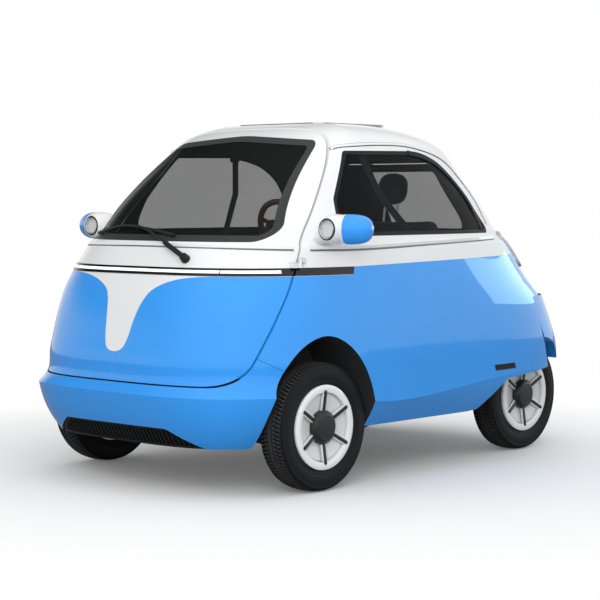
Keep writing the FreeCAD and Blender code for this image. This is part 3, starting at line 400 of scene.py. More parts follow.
def dress_nodes():
    """Gives every CAD node its material; a wheel's nodes start with the word for what they are."""
    for name, node in NODES.items():
        wanted = NODE_MATERIALS.get(name) or WHEEL_MATERIALS[name.split("_")[0]]
        node.data.materials.clear()
        node.data.materials.append(MATERIALS[wanted])


def recolour(name, material, test):
    """Another material on the faces of a CAD node whose middle and normal pass the test."""
    mesh = NODES[name].data
    mesh.materials.append(MATERIALS[material])
    slot = len(mesh.materials) - 1
    for face in mesh.polygons:
        if test(face.center, face.normal):
            face.material_index = slot


CABIN_HEART = Vector((0.0, 0.0, 0.95))
# How near its axle a wheel arch's faces are, and those of the rear skirts, which lie beyond SKIRT_X.
ARCH_REACH, SKIRT_REACH, SKIRT_X = 0.42, 0.3, 0.5
SPOKES_REACH = 0.135


def faces_cabin(centre, normal):
    """Whether a face looks into the cabin."""
    return normal.dot((CABIN_HEART - centre).normalized()) > -0.2


def faces_axle(centre, normal, axle, reach):
    """Whether a face within reach of an axle looks towards it, as a wheel arch's wall does."""
    away = Vector((0.0, axle - centre.y, AXLE_Z - centre.z))
    return away.length < reach and normal.dot(away.normalized()) > 0.5


def hidden(centre, normal):
    """Whether a face looks into the cabin, into a wheel arch or at the ground."""
    in_arch = any(faces_axle(centre, normal, axle, ARCH_REACH) for axle in (FRONT_Y, REAR_Y))
    return in_arch or normal.z < -0.8 or faces_cabin(centre, normal)


def skirt_edge(centre, normal):
    """Whether a face is the wall of a rear arch outside the wheel."""
    return abs(centre.x) > SKIRT_X and faces_axle(centre, normal, REAR_Y, SKIRT_REACH)


def line_insides():
    """Dark linings on the faces out of the daylight, and grey spokes in the steering wheel."""
    for name in ("roof_panel", "door_frame", "hatch"):
        recolour(name, "lining", faces_cabin)
    for name in ("side_panels", "belt_panels", "door_panel", "front_bumper", "rear_bumper"):
        recolour(name, "lining", hidden)
    recolour("rear_bumper", "paint_blue", skirt_edge)
    low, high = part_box("steering_wheel")
    centre = (low + high) / 2
    recolour("steering_wheel", "dash_grey", lambda at, normal: (at - centre).length < SPOKES_REACH)


def mesh_piece(name, verts, faces, material, body):
    """A piece of the scene that moves with a body."""
    mesh = bpy.data.meshes.new(name)
    mesh.from_pydata([tuple(v) for v in verts], [], faces)
    mesh.materials.append(MATERIALS[material])
    piece = bpy.data.objects.new(name, mesh)
    bpy.context.scene.collection.objects.link(piece)
    edit = bmesh.new()
    edit.from_mesh(mesh)
    bmesh.ops.remove_doubles(edit, verts=edit.verts, dist=0.00001)
    bmesh.ops.recalc_face_normals(edit, faces=edit.faces)
    edit.to_mesh(mesh)
    edit.free()
    mesh.shade_smooth()
    mesh.set_sharp_from_angle(angle=math.radians(35))
    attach(piece, body)
    return piece


def spread(start, end, steps):
    """Evenly spaced numbers from start to end, both of them included."""
    return [start + (end - start) * i / steps for i in range(steps + 1)]


def around(profile, angle):
    """Places of (x, radius) points at an angle round the X axis."""
    return [(x, r * math.cos(angle), r * math.sin(angle)) for x, r in profile]


def revolved(profile, count, closed=False):
    """Rings round the X axis through (x, radius) points."""
    verts = []
    for i in range(count):
        verts += around(profile, 2 * math.pi * i / count)
    size = len(profile)
    faces = []
    for i in range(count):
        a, b = i * size, ((i + 1) % count) * size
        for j in range(size if closed else size - 1):
            k = (j + 1) % size
            faces.append((a + j, a + k, b + k, b + j))
    return verts, faces


def join(parts):
    """Several (verts, faces) lists as one."""
    verts, faces = [], []
    for more_verts, more_faces in parts:
        base = len(verts)
        verts += [tuple(v) for v in more_verts]
        faces += [tuple(base + i for i in face) for face in more_faces]
    return verts, faces


def placed(part, place):
    """A piece moved and turned by a matrix."""
    verts, faces = part
    return [place @ Vector(v) for v in verts], faces


def mirrored(part):
    """The same piece on the other side of the car."""
    verts, faces = part
    return [(-v[0], v[1], v[2]) for v in verts], [tuple(reversed(face)) for face in faces]


def smooth_path(points, steps=8):
    """Points along a curve that passes through the given ones."""
    points = [Vector(p) for p in points]
    points = [2 * points[0] - points[1], *points, 2 * points[-1] - points[-2]]
    path = []
    for a, b, c, d in zip(points, points[1:], points[2:], points[3:]):
        for i in range(steps):
            t = i / steps
            path.append((2 * b + (c - a) * t + (2 * a - 5 * b + 4 * c - d) * t * t
                         + (3 * b - a - 3 * c + d) * t ** 3) / 2)
    return path + [points[-2]]


def skin(*names):
    """A search tree over the faces of these CAD nodes."""
    parts = []
    for name in names:
        mesh = NODES[name].data
        parts.append(([v.co for v in mesh.vertices], [tuple(face.vertices) for face in mesh.polygons]))
    return BVHTree.FromPolygons(*join(parts))


def laid(path, tree, inward, lift=0.0):
    """The path moved along a direction onto the skin: each point with the skin's normal there."""
    inward = Vector(inward).normalized()
    spots = []
    for point in path:
        point = Vector(point)
        place, normal = tree.ray_cast(point - inward, inward)[:2]
        if place is None:
            place, normal = tree.find_nearest(point)[:2]
        if normal.dot(inward) > 0:
            normal = -normal
        spots.append((place + normal * lift, normal))
    return spots


def standing(spot, axis):
    """The matrix of a piece whose own axis points out of the skin at a laid spot."""
    place, normal = spot
    return Matrix.Translation(place) @ normal.to_track_quat(axis, "Z").to_matrix().to_4x4()


def swept(spots, profile):
    """A closed bar along laid spots, with its profile given as (across, up from the skin)."""
    verts, faces = [], []
    last, size = len(spots) - 1, len(profile)
    for i, (place, normal) in enumerate(spots):
        ahead = (spots[min(i + 1, last)][0] - spots[max(i - 1, 0)][0]).normalized()
        across = normal.cross(ahead).normalized()
        up = ahead.cross(across)
        verts += [place + across * a + up * b for a, b in profile]
    for i in range(last):
        for j in range(size):
            k = (j + 1) % size
            faces.append((i * size + j, (i + 1) * size + j, (i + 1) * size + k, i * size + k))
    faces.append(tuple(range(size)))
    faces.append(tuple(last * size + j for j in reversed(range(size))))
    return verts, faces


def bar_profile(width, height, sink=0.001):
    """A strip with softly rounded upper edges, sunk a little into what it lies on."""
    half, edge = width / 2, min(width, height) * 0.3
    return ((-half, -sink), (half, -sink), (half, height - edge), (half - edge, height),
            (edge - half, height), (-half, height - edge))


def add_box(edit, halves, radius, segments):
    """Adds a box of these half sizes with rounded edges to an empty mesh."""
    bmesh.ops.create_cube(edit, size=2.0)
    for vert in edit.verts:
        vert.co = [c * half for c, half in zip(vert.co, halves)]
    bmesh.ops.bevel(edit, geom=edit.edges[:], offset=radius, segments=segments, profile=0.5,
                    affect="EDGES")


def block(halves, radius):
    """A small box with rounded edges."""
    edit = bmesh.new()
    add_box(edit, halves, radius, 3)
    part = ([vert.co.copy() for vert in edit.verts],
            [tuple(vert.index for vert in face.verts) for face in edit.faces])
    edit.free()
    return part


def both_sides(name, part, material):
    """A piece on each side of the car's body."""
    for hand, piece in (("left", part), ("right", mirrored(part))):
        mesh_piece(name + "_" + hand, *piece, material, "body")


def sky():
    """White where the camera, a reflection or a clear surface looks, and softer light elsewhere."""
    world = bpy.data.worlds.new("studio")
    bpy.context.scene.world = world
    world.use_nodes = True
    world.node_tree.nodes.clear()
    nodes = Nodes(world.node_tree)
    x, _, z = nodes.axes(nodes.add("ShaderNodeTexCoord").outputs["Generated"])
    light = nodes.add("ShaderNodeBackground")
    nodes.link(nodes.span(z, 0.0, 0.8, 1.18, 0.60), light.inputs["Strength"])

    # Reflections find a dark screen high up at the car's right, so the windscreen stays black there.
    rays = nodes.add("ShaderNodeLightPath").outputs
    screen = nodes.math("MULTIPLY", nodes.span(x, -0.75, -0.2, 0.92, 0.0), nodes.span(z, 0.2, 0.38))
    held_back = nodes.math("MULTIPLY", rays["Is Glossy Ray"], screen)
    seen = nodes.add("ShaderNodeBackground")
    seen.inputs["Color"].default_value = (1, 1, 1, 1)
    nodes.link(nodes.math("SUBTRACT", 1.0, held_back), seen.inputs["Strength"])

    looking = nodes.math("MAXIMUM", rays["Is Camera Ray"], rays["Is Glossy Ray"])
    looking = nodes.math("MAXIMUM", looking, rays["Is Transmission Ray"])
    out = nodes.add("ShaderNodeOutputWorld")
    nodes.link(nodes.mix(looking, light.outputs[0], seen.outputs[0]), out.inputs["Surface"])


def studio():
    """The lamps and the floor; the last lamp is a card that the rear wing reflects."""
    sky()
    add_lamp("overhead", (0.6, -0.6, 4.4), (0.0, 0.0, 0.6), 4.5, 50)
    add_lamp("front_left", (3.8, -4.7, 2.6), (0.0, -0.1, 0.7), 3.4, 150)
    card = add_lamp("rear_card", (1.6, 4.5, 1.45), (0.7, 0.5, 0.75), 3.0, 26)
    card.data.color = (0.6, 0.93, 1.0)
    card.data.shape = "RECTANGLE"
    card.data.size_y = 0.8
    card.visible_glossy = True

    bpy.ops.mesh.primitive_plane_add(size=60, location=(0, 0, 0))
    floor = bpy.context.object
    floor.name = "studio_floor"
    floor.data.materials.append(floor_material())


def add_lamp(name, place, target, size, power):
    """A square lamp that lights the scene and isn't seen itself."""
    data = bpy.data.lights.new(name, "AREA")
    data.size = size
    data.energy = power
    lamp = bpy.data.objects.new(name, data)
    lamp.location = place
    lamp.rotation_euler = (Vector(target) - Vector(place)).to_track_quat("-Z", "Y").to_euler()
    lamp.visible_camera = lamp.visible_glossy = lamp.visible_transmission = False
    bpy.context.scene.collection.objects.link(lamp)
    return lamp


def floor_material():
    """A pale matt floor that melts into the white background away from the car."""
    shader = Shader("studio_floor", Roughness=0.9)
    rays = shader.add("ShaderNodeLightPath").outputs
    seen = shader.math("MAXIMUM", rays["Is Camera Ray"], rays["Is Transmission Ray"])
    pale = shader.blend(shader.noise(0.7), (0.88, 0.88, 0.88), (0.9, 0.9, 0.9))
    shader.feed("Base Color", shader.blend(seen, (0.36, 0.36, 0.37), pale))
    white = shader.add("ShaderNodeEmission")
    white.inputs["Strength"].default_value = 1.0
    length = shader.add("ShaderNodeVectorMath", operation="LENGTH")
    shader.link(shader.place, length.inputs[0])
    far = shader.math("MULTIPLY", shader.span(length.outputs["Value"], 1.0, 2.6, 0.08, 1.0), seen)
    mixed = shader.mix(far, shader.surface.outputs[0], white.outputs[0])
    shader.link(mixed, shader.tree.nodes["Material Output"].inputs["Surface"])
    return shader.material


# The photograph's camera: where it stands, where it looks and its focal length in pixels.
CAMERA_PLACE = (5.50501, FRONT_Y - 5.35880, 1.19712)
CAMERA_AZIMUTH, CAMERA_DOWN = 0.744827, 0.057541
FOCAL_PIXELS, PICTURE_PIXELS = 1781.54, 600
SENSOR = 36.0


def camera():
    """Looks at the car from where the photograph was taken."""
    level = math.cos(CAMERA_DOWN)
    view = Vector((-math.sin(CAMERA_AZIMUTH) * level, math.cos(CAMERA_AZIMUTH) * level,
                   -math.sin(CAMERA_DOWN)))
    data = bpy.data.cameras.new("camera")
    data.sensor_width = SENSOR
    data.lens = FOCAL_PIXELS / PICTURE_PIXELS * SENSOR
    data.clip_end = 200.0
    eye = bpy.data.objects.new("camera", data)
    eye.location = CAMERA_PLACE
    eye.rotation_euler = view.to_track_quat("-Z", "Y").to_euler()
    bpy.context.scene.collection.objects.link(eye)
    bpy.context.scene.camera = eye


TREAD_PITCHES, TREAD_HALF = 96, 0.051
# Grooves round the tyre, as distances from its middle, and half their width.
INNER_GROOVE, OUTER_GROOVE, GROOVE_HALF = 0.0125, 0.0325, 0.0022


def tread_depth(across, share):
    """How deep the tread is cut at a place across the tyre and a share of one pitch."""
    spot = abs(across)
    if spot > TREAD_HALF:
        return 0.0
    if any(abs(spot - groove) < GROOVE_HALF for groove in (INNER_GROOVE, OUTER_GROOVE)):
        return 0.0065
    if spot > OUTER_GROOVE:
        return 0.0085 if share < 0.42 else 0.0
    if spot > INNER_GROOVE:
        return 0.007 if share < 0.30 else 0.0
    return 0.004 if share < 0.14 and spot > 0.005 else 0.0


# The left half of the tyre's outline as (x, radius): its side wall, and places across the tread.
TYRE_WALL = ((0.046, 0.1665), (0.052, 0.170), (0.0545, 0.1765), (0.0575, 0.183), (0.0600, 0.192),
             (0.0590, 0.1945), (0.0607, 0.197), (0.0620, 0.208), (0.0624, 0.219), (0.0616, 0.231),
             (0.0596, 0.241), (0.0608, 0.2435), (0.0590, 0.2490), (0.0565, 0.2540))
TREAD_ACROSS = (0.0535, 0.0511, 0.0509, 0.0430, 0.0348, 0.0346, 0.0304, 0.0302, 0.0250, 0.0200,
                0.0148, 0.0146, 0.0104, 0.0102, 0.0051, 0.0049)
# Places along one pitch of the tread, as shares of it.
PITCH_SHARES = (0.0, 0.13, 0.15, 0.29, 0.31, 0.41, 0.43, 0.70, 0.99)
# How the blocks slant outwards, in radians a metre, and how far the tread falls at its edge.
TREAD_SLANT, CROWN_HALF, CROWN_DROP = 0.9, 0.052, 0.0052


def tyre_mesh():
    """A tyre round the X axis: plain ribbed side walls, and a tread cut into blocks."""
    right_wall = [(-x, r) for x, r in reversed(TYRE_WALL)]
    across = [*TREAD_ACROSS, 0.0, *(-x for x in reversed(TREAD_ACROSS))]
    rows = TREAD_PITCHES * len(PITCH_SHARES)
    size = 2 * len(TYRE_WALL) + len(across)
    verts, faces = [], []
    for row in range(rows):
        pitch, step = divmod(row, len(PITCH_SHARES))
        share = PITCH_SHARES[step]
        turn = 2 * math.pi * (pitch + share) / TREAD_PITCHES
        verts += around(TYRE_WALL, turn)
        for x in across:
            crown = TYRE_RADIUS - CROWN_DROP * (abs(x) / CROWN_HALF) ** 3
            verts += around([(x, crown - tread_depth(x, share))], turn + TREAD_SLANT * abs(x))
        verts += around(right_wall, turn)
    for row in range(rows):
        a, b = row * size, ((row + 1) % rows) * size
        faces += [(a + j, a + j + 1, b + j + 1, b + j) for j in range(size - 1)]
    return join([(verts, faces), revolved([right_wall[-1], TYRE_WALL[0]], rows)])


# Along a rounded bar: the share of its length, and how much of its full size it has there.
BAR_STATIONS = ((0.0, 0.55), (0.03, 0.9), (0.08, 1.0), (0.9, 1.0), (0.96, 0.88), (0.99, 0.6), (1.0, 0.25))


def rounded_bar(start, end, width, height):
    """A bar with a rounded back that runs outwards from start to end in the XZ plane."""
    back = [(-math.cos(angle), 0.55 + 0.45 * math.sin(angle)) for angle in spread(0.0, math.pi, 6)]
    ring = [(-1.0, -1.0), *back, (1.0, -1.0)]
    verts, faces = [], []
    for share, scale in BAR_STATIONS:
        x = start[0] + (end[0] - start[0]) * share
        z = start[1] + (end[1] - start[1]) * share
        verts += [(x + height * b * (scale if b > 0 else 1), width / 2 * a * scale, z) for a, b in ring]
    size, last = len(ring), len(BAR_STATIONS) - 1
    for i in range(last):
        for j in range(size - 1):
            faces.append((i * size + j, i * size + j + 1, (i + 1) * size + j + 1, (i + 1) * size + j))
    faces.append(tuple(range(size)))
    faces.append(tuple(reversed(range(last * size, (last + 1) * size))))
    return verts, faces


def six_times(part):
    """The same piece six times round the X axis."""
    return [placed(part, Matrix.Rotation(math.radians(60 * i), 4, "X")) for i in range(6)]


# Outlines as (x, radius): the face of the wheel cover, the rim barrel behind it, and the hub cap.
COVER_FACE = ((0.046, 0.170), (0.0600, 0.1745), (0.0640, 0.1735), (0.0660, 0.1700), (0.0668, 0.1600),
              (0.0664, 0.1480), (0.0645, 0.1430), (0.0610, 0.1415), (0.0440, 0.1410),
              (0.0440, 0.1368), (0.0530, 0.1360), (0.0510, 0.1200), (0.0455, 0.0950),
              (0.0420, 0.0780), (0.0420, 0.0300))
RIM_BARREL = ((0.0300, 0.0300), (0.0300, 0.0800), (0.0350, 0.1300), (0.0300, 0.1480),
              (-0.0480, 0.1500), (-0.0500, 0.1700), (-0.0470, 0.1715), (-0.0440, 0.1650))
HUB_CAP = ((0.040, 0.0), (0.040, 0.0705), (0.0560, 0.0700), (0.0605, 0.0685), (0.0700, 0.0570),
           (0.0722, 0.0548), (0.0734, 0.0520), (0.0736, 0.0480), (0.0726, 0.0465),
           (0.0730, 0.0440), (0.0738, 0.0200), (0.0740, 0.0))


def cover_mesh():
    """Rim barrel and cover: a broad ring, a thin slot inside it, and a sunk dish with six ribs."""
    rib = rounded_bar((0.0520, 0.066), (0.0630, 0.1425), 0.027, 0.0035)
    return join([revolved(COVER_FACE + RIM_BARREL, 96, closed=True), *six_times(rib)])


def cap_mesh():
    """The black hub cap and its six spokes."""
    spoke = rounded_bar((0.0545, 0.060), (0.0680, 0.1525), 0.0150, 0.0042)
    return join([revolved(HUB_CAP, 72), *six_times(spoke)])


def wheels():
    """Tyre, wheel and hub cap of each wheel, in place of the plain CAD ones."""
    parts = {"tyre": tyre_mesh(), "wheel": cover_mesh(), "hubcap": cap_mesh()}
    for axle, half_track, y in (("front", FRONT_X, FRONT_Y), ("rear", REAR_X, REAR_Y)):
        for hand, side in SIDES.items():
            name = axle + "_" + hand
            place = Matrix.Translation((side * half_track, y, AXLE_Z))
            if side < 0:
                place = place @ Matrix.Rotation(math.pi, 4, "Z")
            for kind, part in parts.items():
                material = WHEEL_MATERIALS[kind]
                piece = mesh_piece("fine_" + kind + "_" + name, *placed(part, place), material,
                                   "wheel_" + name)
                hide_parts(kind + "_" + name)


# Heights of the crease under the windows: (x, z) along the door, and (y, z) along the side.
DOOR_CREASE = ((-0.60, 0.997), (-0.45, 1.001), (-0.2, 1.006), (0.0, 1.008), (0.2, 1.006),
               (0.45, 1.001), (0.60, 0.997))
SIDE_CREASE = ((-0.71, 0.996), (-0.53, 0.996), (-0.325, 0.999), (-0.055, 1.006), (0.245, 1.013),
               (0.50, 1.019), (0.56, 1.020))
# Profiles of the lip along the crease and of the grey strip below it, a painted shadow under the lip, as
# (across, up).
LIP = ((0.004, -0.001), (0.0015, 0.0052), (-0.0015, 0.0058), (-0.015, -0.001))
LIP_SHADOW_LINE = ((-0.0165, -0.001), (-0.0130, 0.0012), (-0.0185, 0.0012), (-0.0205, -0.001))


def creases():
    """The lip under the windows with the grey strip below it that paints the lip's shadow, on the door
    and along both sides.
    """
    door_path = smooth_path([(x, -0.9, z) for x, z in DOOR_CREASE])
    side_path = smooth_path([(0.7, y, z) for y, z in SIDE_CREASE])
    front = laid(door_path, skin("door_frame"), TO_REAR)
    side = laid(side_path, skin("belt_panels", "roof_panel"), TO_RIGHT)
    for name, profile, material in (("crease", LIP, "paint_white"),
                                    ("crease_painted_shadow", LIP_SHADOW_LINE, "crease_grey")):
        piece = mesh_piece("door_" + name, *swept(front, profile), material, "front_door")
        both_sides("side_" + name, swept(side, profile), material)


# The drip moulding over the side window, as (y, z).
MOULDING = ((-0.425, 1.403), (-0.3575, 1.416), (-0.1395, 1.427), (0.0755, 1.420), (0.3085, 1.372),
            (0.455, 1.285), (0.530, 1.185), (0.565, 1.075))


def mouldings():
    """The white drip moulding over each side window, on its dark seam."""
    path = smooth_path([(0.5, y, z) for y, z in MOULDING])
    spots = laid(path, skin("roof_panel", "hatch"), TO_RIGHT)
    both_sides("drip_seam", swept(spots, bar_profile(0.019, 0.0012)), "seal_black")
    both_sides("drip_moulding", swept(spots, bar_profile(0.013, 0.0045)), "paint_white")


# Where the light guide's three lengths meet across the door, their gap at each end, and their height.
GUIDE_JOINTS, GUIDE_GAP, GUIDE_HEIGHT = (-0.616, -0.436, 0.436, 0.616), 0.002, 0.8985


def light_guides():
    """The lit line in the door's light bar."""
    bar = skin("door_light_bar")
    for i, (start, end) in enumerate(zip(GUIDE_JOINTS, GUIDE_JOINTS[1:])):
        path = [(x, -1.0, GUIDE_HEIGHT) for x in spread(start + GUIDE_GAP, end - GUIDE_GAP, 24)]
        part = swept(laid(path, bar, TO_REAR), bar_profile(0.013, 0.0012, 0.0005))
        mesh_piece("light_guide_%d" % i, *part, "lamp_white", "front_door")


# The broad black band inside the rear edge of the side window, as (y, z).
WINDOW_BAND = ((0.03, 1.392), (0.134, 1.376), (0.240, 1.343), (0.3485, 1.272), (0.432, 1.175),
               (0.475, 1.080), (0.479, 1.052))


def window_bands():
    """The black band round the rear of each side window."""
    path = smooth_path([(0.6, y, z) for y, z in WINDOW_BAND])
    band = laid(path, skin("side_windows", "side_window_seals"), TO_RIGHT)
    both_sides("window_band", swept(band, bar_profile(0.024, 0.0035)), "seal_black")


MARKER_ENDS, MARKER_HEIGHT, MARKER_SLANT = (0.422, 0.580), 0.4315, 0.35


def side_markers():
    """A black marker low on each side, with slanting ends."""
    path = [(0.7, y, MARKER_HEIGHT) for y in spread(*MARKER_ENDS, 8)]
    verts, faces = swept(laid(path, skin("side_panels"), TO_RIGHT), bar_profile(0.026, 0.003))
    verts = [v + Vector((0, (MARKER_HEIGHT - v.z) * MARKER_SLANT, 0)) for v in verts]
    both_sides("side_marker", (verts, faces), "gloss_black")


# Outlines round the headlamp lens, as (back from its front, beyond its radius).
LAMP_RING = ((-0.006, 0.0035), (-0.0075, 0.0015), (-0.006, -0.002), (0.006, -0.003), (0.006, 0.0035))
LAMP_RIM = ((-0.0085, -0.003), (-0.0095, -0.006), (-0.0075, -0.009), (0.002, -0.0095), (0.002, -0.003))


def lamp_rims():
    """A dark ring and a bright rim round each headlamp lens."""
    low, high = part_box("headlamps")
    radius = (high.z - low.z) / 2
    centre = Vector((high.x - radius, low.y, (low.z + high.z) / 2))
    place = Matrix.Translation(centre) @ Matrix.Rotation(math.radians(90), 4, "Z")
    for name, outline, material in (("lamp_ring", LAMP_RING, "gloss_black"),
                                    ("lamp_rim", LAMP_RIM, "chrome")):
        profile = [(x, radius + beyond) for x, beyond in outline]
        both_sides(name, placed(revolved(profile, 64, closed=True), place), material)


# The wiper: places before the glass along its arm and its blade, and outlines of its pieces.
PIVOT = (0.262, -1.03, 0.945)
ARM = (PIVOT, (0.215, -1.02, 0.965), (0.12, -1.01, 1.002), (0.0, -1.0, 1.042), (-0.105, -0.98, 1.066))
BLADE = ((-0.416, -0.93, 1.036), (-0.214, -0.95, 1.070), (-0.03, -0.97, 1.058), (0.140, -0.99, 1.036))
BLADE_EDGE = ((-0.0015, 0.001), (0.0015, 0.001), (0.0012, 0.008), (-0.0012, 0.008))
BLADE_SPINE = ((-0.0065, 0.0075), (0.0065, 0.0075), (0.0055, 0.0125), (0.0015, 0.0165),
               (-0.0055, 0.0125))
PIVOT_CAP = ((0.0, 0.0), (0.0, 0.019), (0.006, 0.020), (0.018, 0.0175), (0.027, 0.0165),
             (0.030, 0.013), (0.031, 0.0))
ARM_LIFT, ARM_ARCH = 0.015, 0.008


def wiper():
    """One long wiper: a pivot cap, a cranked arm, and a blade that lies on the windscreen."""
    front = skin("windscreen", "windscreen_seal", "door_frame")
    blade = laid(smooth_path(BLADE), front, TO_REAR)
    arm = []
    on_glass = laid(smooth_path(ARM), front, TO_REAR)
    for (place, normal), share in zip(on_glass, spread(0.0, 1.0, len(on_glass) - 1)):
        arm.append((place + normal * (ARM_LIFT + ARM_ARCH * math.sin(math.pi * share)), normal))
    half = len(arm) // 2
    pivot = laid([PIVOT], front, TO_REAR)[0]
    parts = [swept(blade, BLADE_EDGE), swept(blade, BLADE_SPINE),
             swept(arm[:half], bar_profile(0.021, 0.010, 0.004)),
             swept(arm[half - 1:], bar_profile(0.010, 0.007, 0.003)),
             placed(revolved(PIVOT_CAP, 40), standing(pivot, "X"))]
    piece = mesh_piece("wiper_arm_and_blade", *join(parts), "trim_black", "front_door")
    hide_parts("wiper")


def stuffing(name, halves, voxel, ball):
    """An evenly meshed block of these half sizes with soft edges, or a squarish ball."""
    mesh = bpy.data.meshes.new(name)
    edit = bmesh.new()
    if ball:
        bmesh.ops.create_icosphere(edit, subdivisions=4, radius=1.0)
        for vert in edit.verts:
            vert.co = [math.copysign(abs(c) ** 0.78, c) * half for c, half in zip(vert.co, halves)]
    else:
        add_box(edit, halves, 0.03, 4)
    bmesh.ops.triangulate(edit, faces=edit.faces)
    edit.to_mesh(mesh)
    edit.free()
    piece = bpy.data.objects.new(name, mesh)
    bpy.context.scene.collection.objects.link(piece)
    remesh = piece.modifiers.new("even", "REMESH")
    remesh.mode = "VOXEL"
    remesh.voxel_size = voxel
    bake(piece)
    return piece


SEAM_WIDTH = 0.007


def sew(piece, size, seams):
    """Draws a pad in along its seams, each (axis, level, depth), and keeps it within its size."""
    half = Vector(size) / 2
    # All normals are read first: a vertex written in between has them worked out anew each time.
    shape = [(vert.co.copy(), vert.normal.copy()) for vert in piece.data.vertices]
    sewn = []
    for spot, normal in shape:
        spot -= normal * max(depth * math.exp(-((spot[axis] - level) / SEAM_WIDTH) ** 2)
                             for axis, level, depth in seams)
        sewn += [max(-h, min(h, c)) for c, h in zip(spot, half)]
    piece.data.vertices.foreach_set("co", sewn)


def cushion(name, size, place, node, cap, seams, voxel=0.010, ball=False):
    """A stuffed pad round its middle: a soft form swollen as cloth, then drawn in along its seams."""
    piece = stuffing(name, [whole / 2 - 0.6 * cap for whole in size], voxel, ball)
    swell(piece, cap)
    smooth = piece.modifiers.new("smooth", "SUBSURF")
    smooth.levels = smooth.render_levels = 1
    bake(piece)
    sew(piece, size, seams)
    piece.data.transform(place)
    piece.data.shade_smooth()
    piece.data.materials.append(MATERIALS["seat_grey"])
    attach(piece, "body")
    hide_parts(node)


def bake(piece):
    """Applies a piece's modifiers to its mesh."""
    found = piece.evaluated_get(bpy.context.evaluated_depsgraph_get())
    mesh = bpy.data.meshes.new_from_object(found)
    piece.modifiers.clear()
    piece.data = mesh


SWELL_PRESSURE, SWELL_FRAMES = 4.0, 20


def swell(piece, cap):
    """Blows a closed mesh up as cloth, and lets no point move further than the cap."""
    start = [vert.co.copy() for vert in piece.data.vertices]
    cloth = piece.modifiers.new("swell", "CLOTH")
    cloth.settings.use_pressure = True
    cloth.settings.uniform_pressure_force = SWELL_PRESSURE
    cloth.settings.effector_weights.gravity = 0.0
    for frame_number in range(1, SWELL_FRAMES + 1):
        bpy.context.scene.frame_set(frame_number)
    bake(piece)
    bpy.context.scene.frame_set(1)
    kept = []
    for vert, rest in zip(piece.data.vertices, start):
        move = vert.co - rest
        kept.extend(rest + move * min(1.0, cap / max(move.length, cap / 10)))
    piece.data.vertices.foreach_set("co", kept)


# The bench seat: its cushion, and a back that leans about the cushion's rear lower edge.
SEAT_LOW, SEAT_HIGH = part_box("seat_cushion")
BACK_DEPTH, BACK_HEIGHT, BACK_LEAN = 0.100, 0.672, math.radians(8)
HEAD_X, HEAD_WIDTH, HEAD_GAP, HEAD_HEIGHT, HEAD_DEPTH = 0.250, 0.170, 0.050, 0.155, 0.070
POST_STEP, POST_RADIUS, POST_SINK = 0.036, 0.006, 0.03
# Seams along the bench, as (axis, level, depth): a deep one in the middle, two on each seat.
BENCH_SEAMS = [(0, 0.0, 0.016), *((0, x, 0.006) for x in (-0.406, -0.154, 0.154, 0.406))]


def seats():
    """The bench's cushion and back, and a head rest at each side."""
    size = SEAT_HIGH - SEAT_LOW
    cushion("seat_cushion_pad", size, Matrix.Translation((SEAT_HIGH + SEAT_LOW) / 2), "seat_cushion",
            0.022, BENCH_SEAMS + [(1, -0.10, 0.006), (1, 0.05, 0.006)])
    hinge = Matrix.Translation((0.0, SEAT_HIGH.y, SEAT_LOW.z)) @ Matrix.Rotation(-BACK_LEAN, 4, "X")
    place = hinge @ Matrix.Translation((0.0, BACK_DEPTH / 2, BACK_HEIGHT / 2))
    cushion("seat_back_pad", (size.x, BACK_DEPTH, BACK_HEIGHT), place, "seat_back",
            0.016, BENCH_SEAMS + [(2, -0.10, 0.006), (2, 0.14, 0.006)])
    for hand, side in SIDES.items():
        head_rest(hand, side * HEAD_X, hinge)


def head_rest(hand, x, hinge):
    """A head rest on its two posts, which lean with the seat's back."""
    level = BACK_HEIGHT + HEAD_GAP + HEAD_HEIGHT / 2
    place = hinge @ Matrix.Translation((x, BACK_DEPTH / 2, level))
    cushion("headrest_pad_" + hand, (HEAD_WIDTH, HEAD_DEPTH, HEAD_HEIGHT), place, "seat_back",
            0.006, [(1, 0.0, 0.003)], voxel=0.005, ball=True)
    foot = BACK_HEIGHT - POST_SINK
    rod = revolved([(foot, 0.0), (foot, POST_RADIUS), (level, POST_RADIUS), (level, 0.0)], 20)
    upright = Matrix.Rotation(math.radians(-90), 4, "Y")
    posts = [placed(rod, hinge @ Matrix.Translation((x + step, BACK_DEPTH / 2, 0)) @ upright)
             for step in (-POST_STEP, POST_STEP)]
    piece = mesh_piece("headrest_posts_" + hand, *join(posts), "chrome", "body")
    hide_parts("seat_back")


# Each seat belt's guide under the roof and the lower end of its free webbing, as (y, z). The reel
# is further down. The belt hangs inside the lining, and never further out than its reach.
BELTS = {"left": ((-0.275, 1.375), (0.050, 0.940)), "right": ((0.030, 1.375), (0.030, 0.940))}
REEL_HEIGHT, BELT_REACH, BELT_GAP = 0.68, 0.62, 0.016
WEBBING = ((-0.019, -0.0008), (0.019, -0.0008), (0.019, 0.0008), (-0.019, 0.0008))


def belt_line(top, foot, lining):
    """The webbing's middle line, at the distance of the nearest lining round each spot."""
    middle = ((top[0] + foot[0]) / 2, (top[1] + foot[1]) / 2)
    route = smooth_path([(0, *top), (0, *middle), (0, *foot), (0, foot[0], REEL_HEIGHT)])
    reach = []
    for spot in route:
        place = lining.ray_cast(Vector((0.2, spot.y, spot.z)), Vector(TO_LEFT))[0]
        reach.append(min(place.x, BELT_REACH) if place else BELT_REACH)
    return [Vector((min(reach[max(0, i - 6):i + 7]) - BELT_GAP, spot.y, spot.z))
            for i, spot in enumerate(route)]


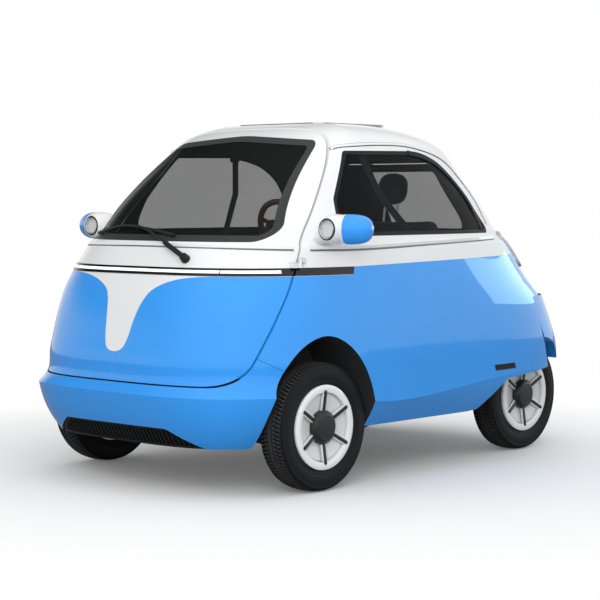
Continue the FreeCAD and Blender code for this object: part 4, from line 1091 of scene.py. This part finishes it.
def belts():
    """A seat belt at each side: webbing that runs from a guide under the roof down to its reel."""
    lining = skin("roof_panel", "belt_panels", "side_panels", "side_windows", "side_window_seals")
    for hand, side in SIDES.items():
        line = belt_line(*BELTS[hand], lining)
        guide = Matrix.Translation(line[0] + Vector((0.005, 0, 0)))
        reel = Matrix.Translation(line[-1] + Vector((0.004, 0, 0)))
        parts = (("webbing", "webbing", swept([(spot, Vector(TO_RIGHT)) for spot in line], WEBBING)),
                 ("guide", "trim_black", placed(block((0.008, 0.026, 0.010), 0.004), guide)),
                 ("reel", "trim_black", placed(block((0.018, 0.030, 0.040), 0.006), reel)))
        for kind, material, part in parts:
            part = part if side > 0 else mirrored(part)
            mesh_piece("belt_" + kind + "_" + hand, *part, material, "body")


# The left half of the tailgate seal, from its lower end up to the middle of the roof, as (x, z).
HATCH_SEAL = ((0.474, 0.74), (0.444, 0.90), (0.418, 1.06), (0.395, 1.20), (0.383, 1.2725),
              (0.369, 1.311), (0.343, 1.342), (0.307, 1.363), (0.267, 1.370), (0.13, 1.371), (0.0, 1.371))


def hatch_seal():
    """A rubber seal inside the gap round the tailgate."""
    inside = skin("roof_panel", "belt_panels", "side_panels")
    outline = [*HATCH_SEAL, *((-x, z) for x, z in reversed(HATCH_SEAL[:-1]))]
    spots = []
    for point in smooth_path([(x, 0.2, z) for x, z in outline]):
        place, normal = inside.ray_cast(point, Vector(TO_REAR))[:2]
        if place is not None:
            spots.append((place, -normal if normal.y > 0 else normal))
    part = swept(spots, bar_profile(0.030, 0.004, 0.0005))
    mesh_piece("hatch_seal", *part, "seal_black", "body")


PLATE_HEIGHT, REAR_LAMPS_HEIGHT = 0.600, 0.445


def rear_details():
    """Bare number plate with its lamp, reflectors, a tailgate handle and the black bumper studs."""
    back = skin("rear_bumper", "hatch", "side_panels", "belt_panels")

    def on_back(name, x, z, halves, radius, material, body="body", lift=0.0):
        spot = laid([(x, 1.2, z)], back, TO_FRONT, lift)[0]
        part = placed(block(halves, radius), standing(spot, "Y"))
        mesh_piece(name, *part, material, body)

    on_back("plate_frame", 0.0, PLATE_HEIGHT, (0.178, 0.006, 0.083), 0.003, "gloss_black")
    on_back("plate_blank", 0.0, PLATE_HEIGHT, (0.170, 0.0015, 0.075), 0.001, "plate_white",
            lift=0.0062)
    on_back("plate_lamp", 0.0, 0.702, (0.045, 0.007, 0.009), 0.003, "gloss_black")
    on_back("tailgate_handle", 0.0, 0.800, (0.070, 0.009, 0.014), 0.005, "chrome",
            "tailgate")
    for hand, side in SIDES.items():
        on_back("reflector_" + hand, side * 0.36, REAR_LAMPS_HEIGHT, (0.040, 0.004, 0.018), 0.003,
                "lamp_red")
        on_back("bumper_stud_" + hand, side * 0.52, 0.655, (0.016, 0.006, 0.020), 0.004, "gloss_black")
        on_back("fog_lamp_" + hand, side * 0.26, REAR_LAMPS_HEIGHT, (0.030, 0.005, 0.018), 0.003,
                "plate_white" if side < 0 else "lamp_red")


dress_nodes()
line_insides()
camera()
studio()
wheels()
creases()
mouldings()
light_guides()
window_bands()
side_markers()
lamp_rims()
wiper()
seats()
belts()
hatch_seal()
rear_details()

bpy.context.scene.view_settings.view_transform = "Standard"
bpy.context.view_layer.update()
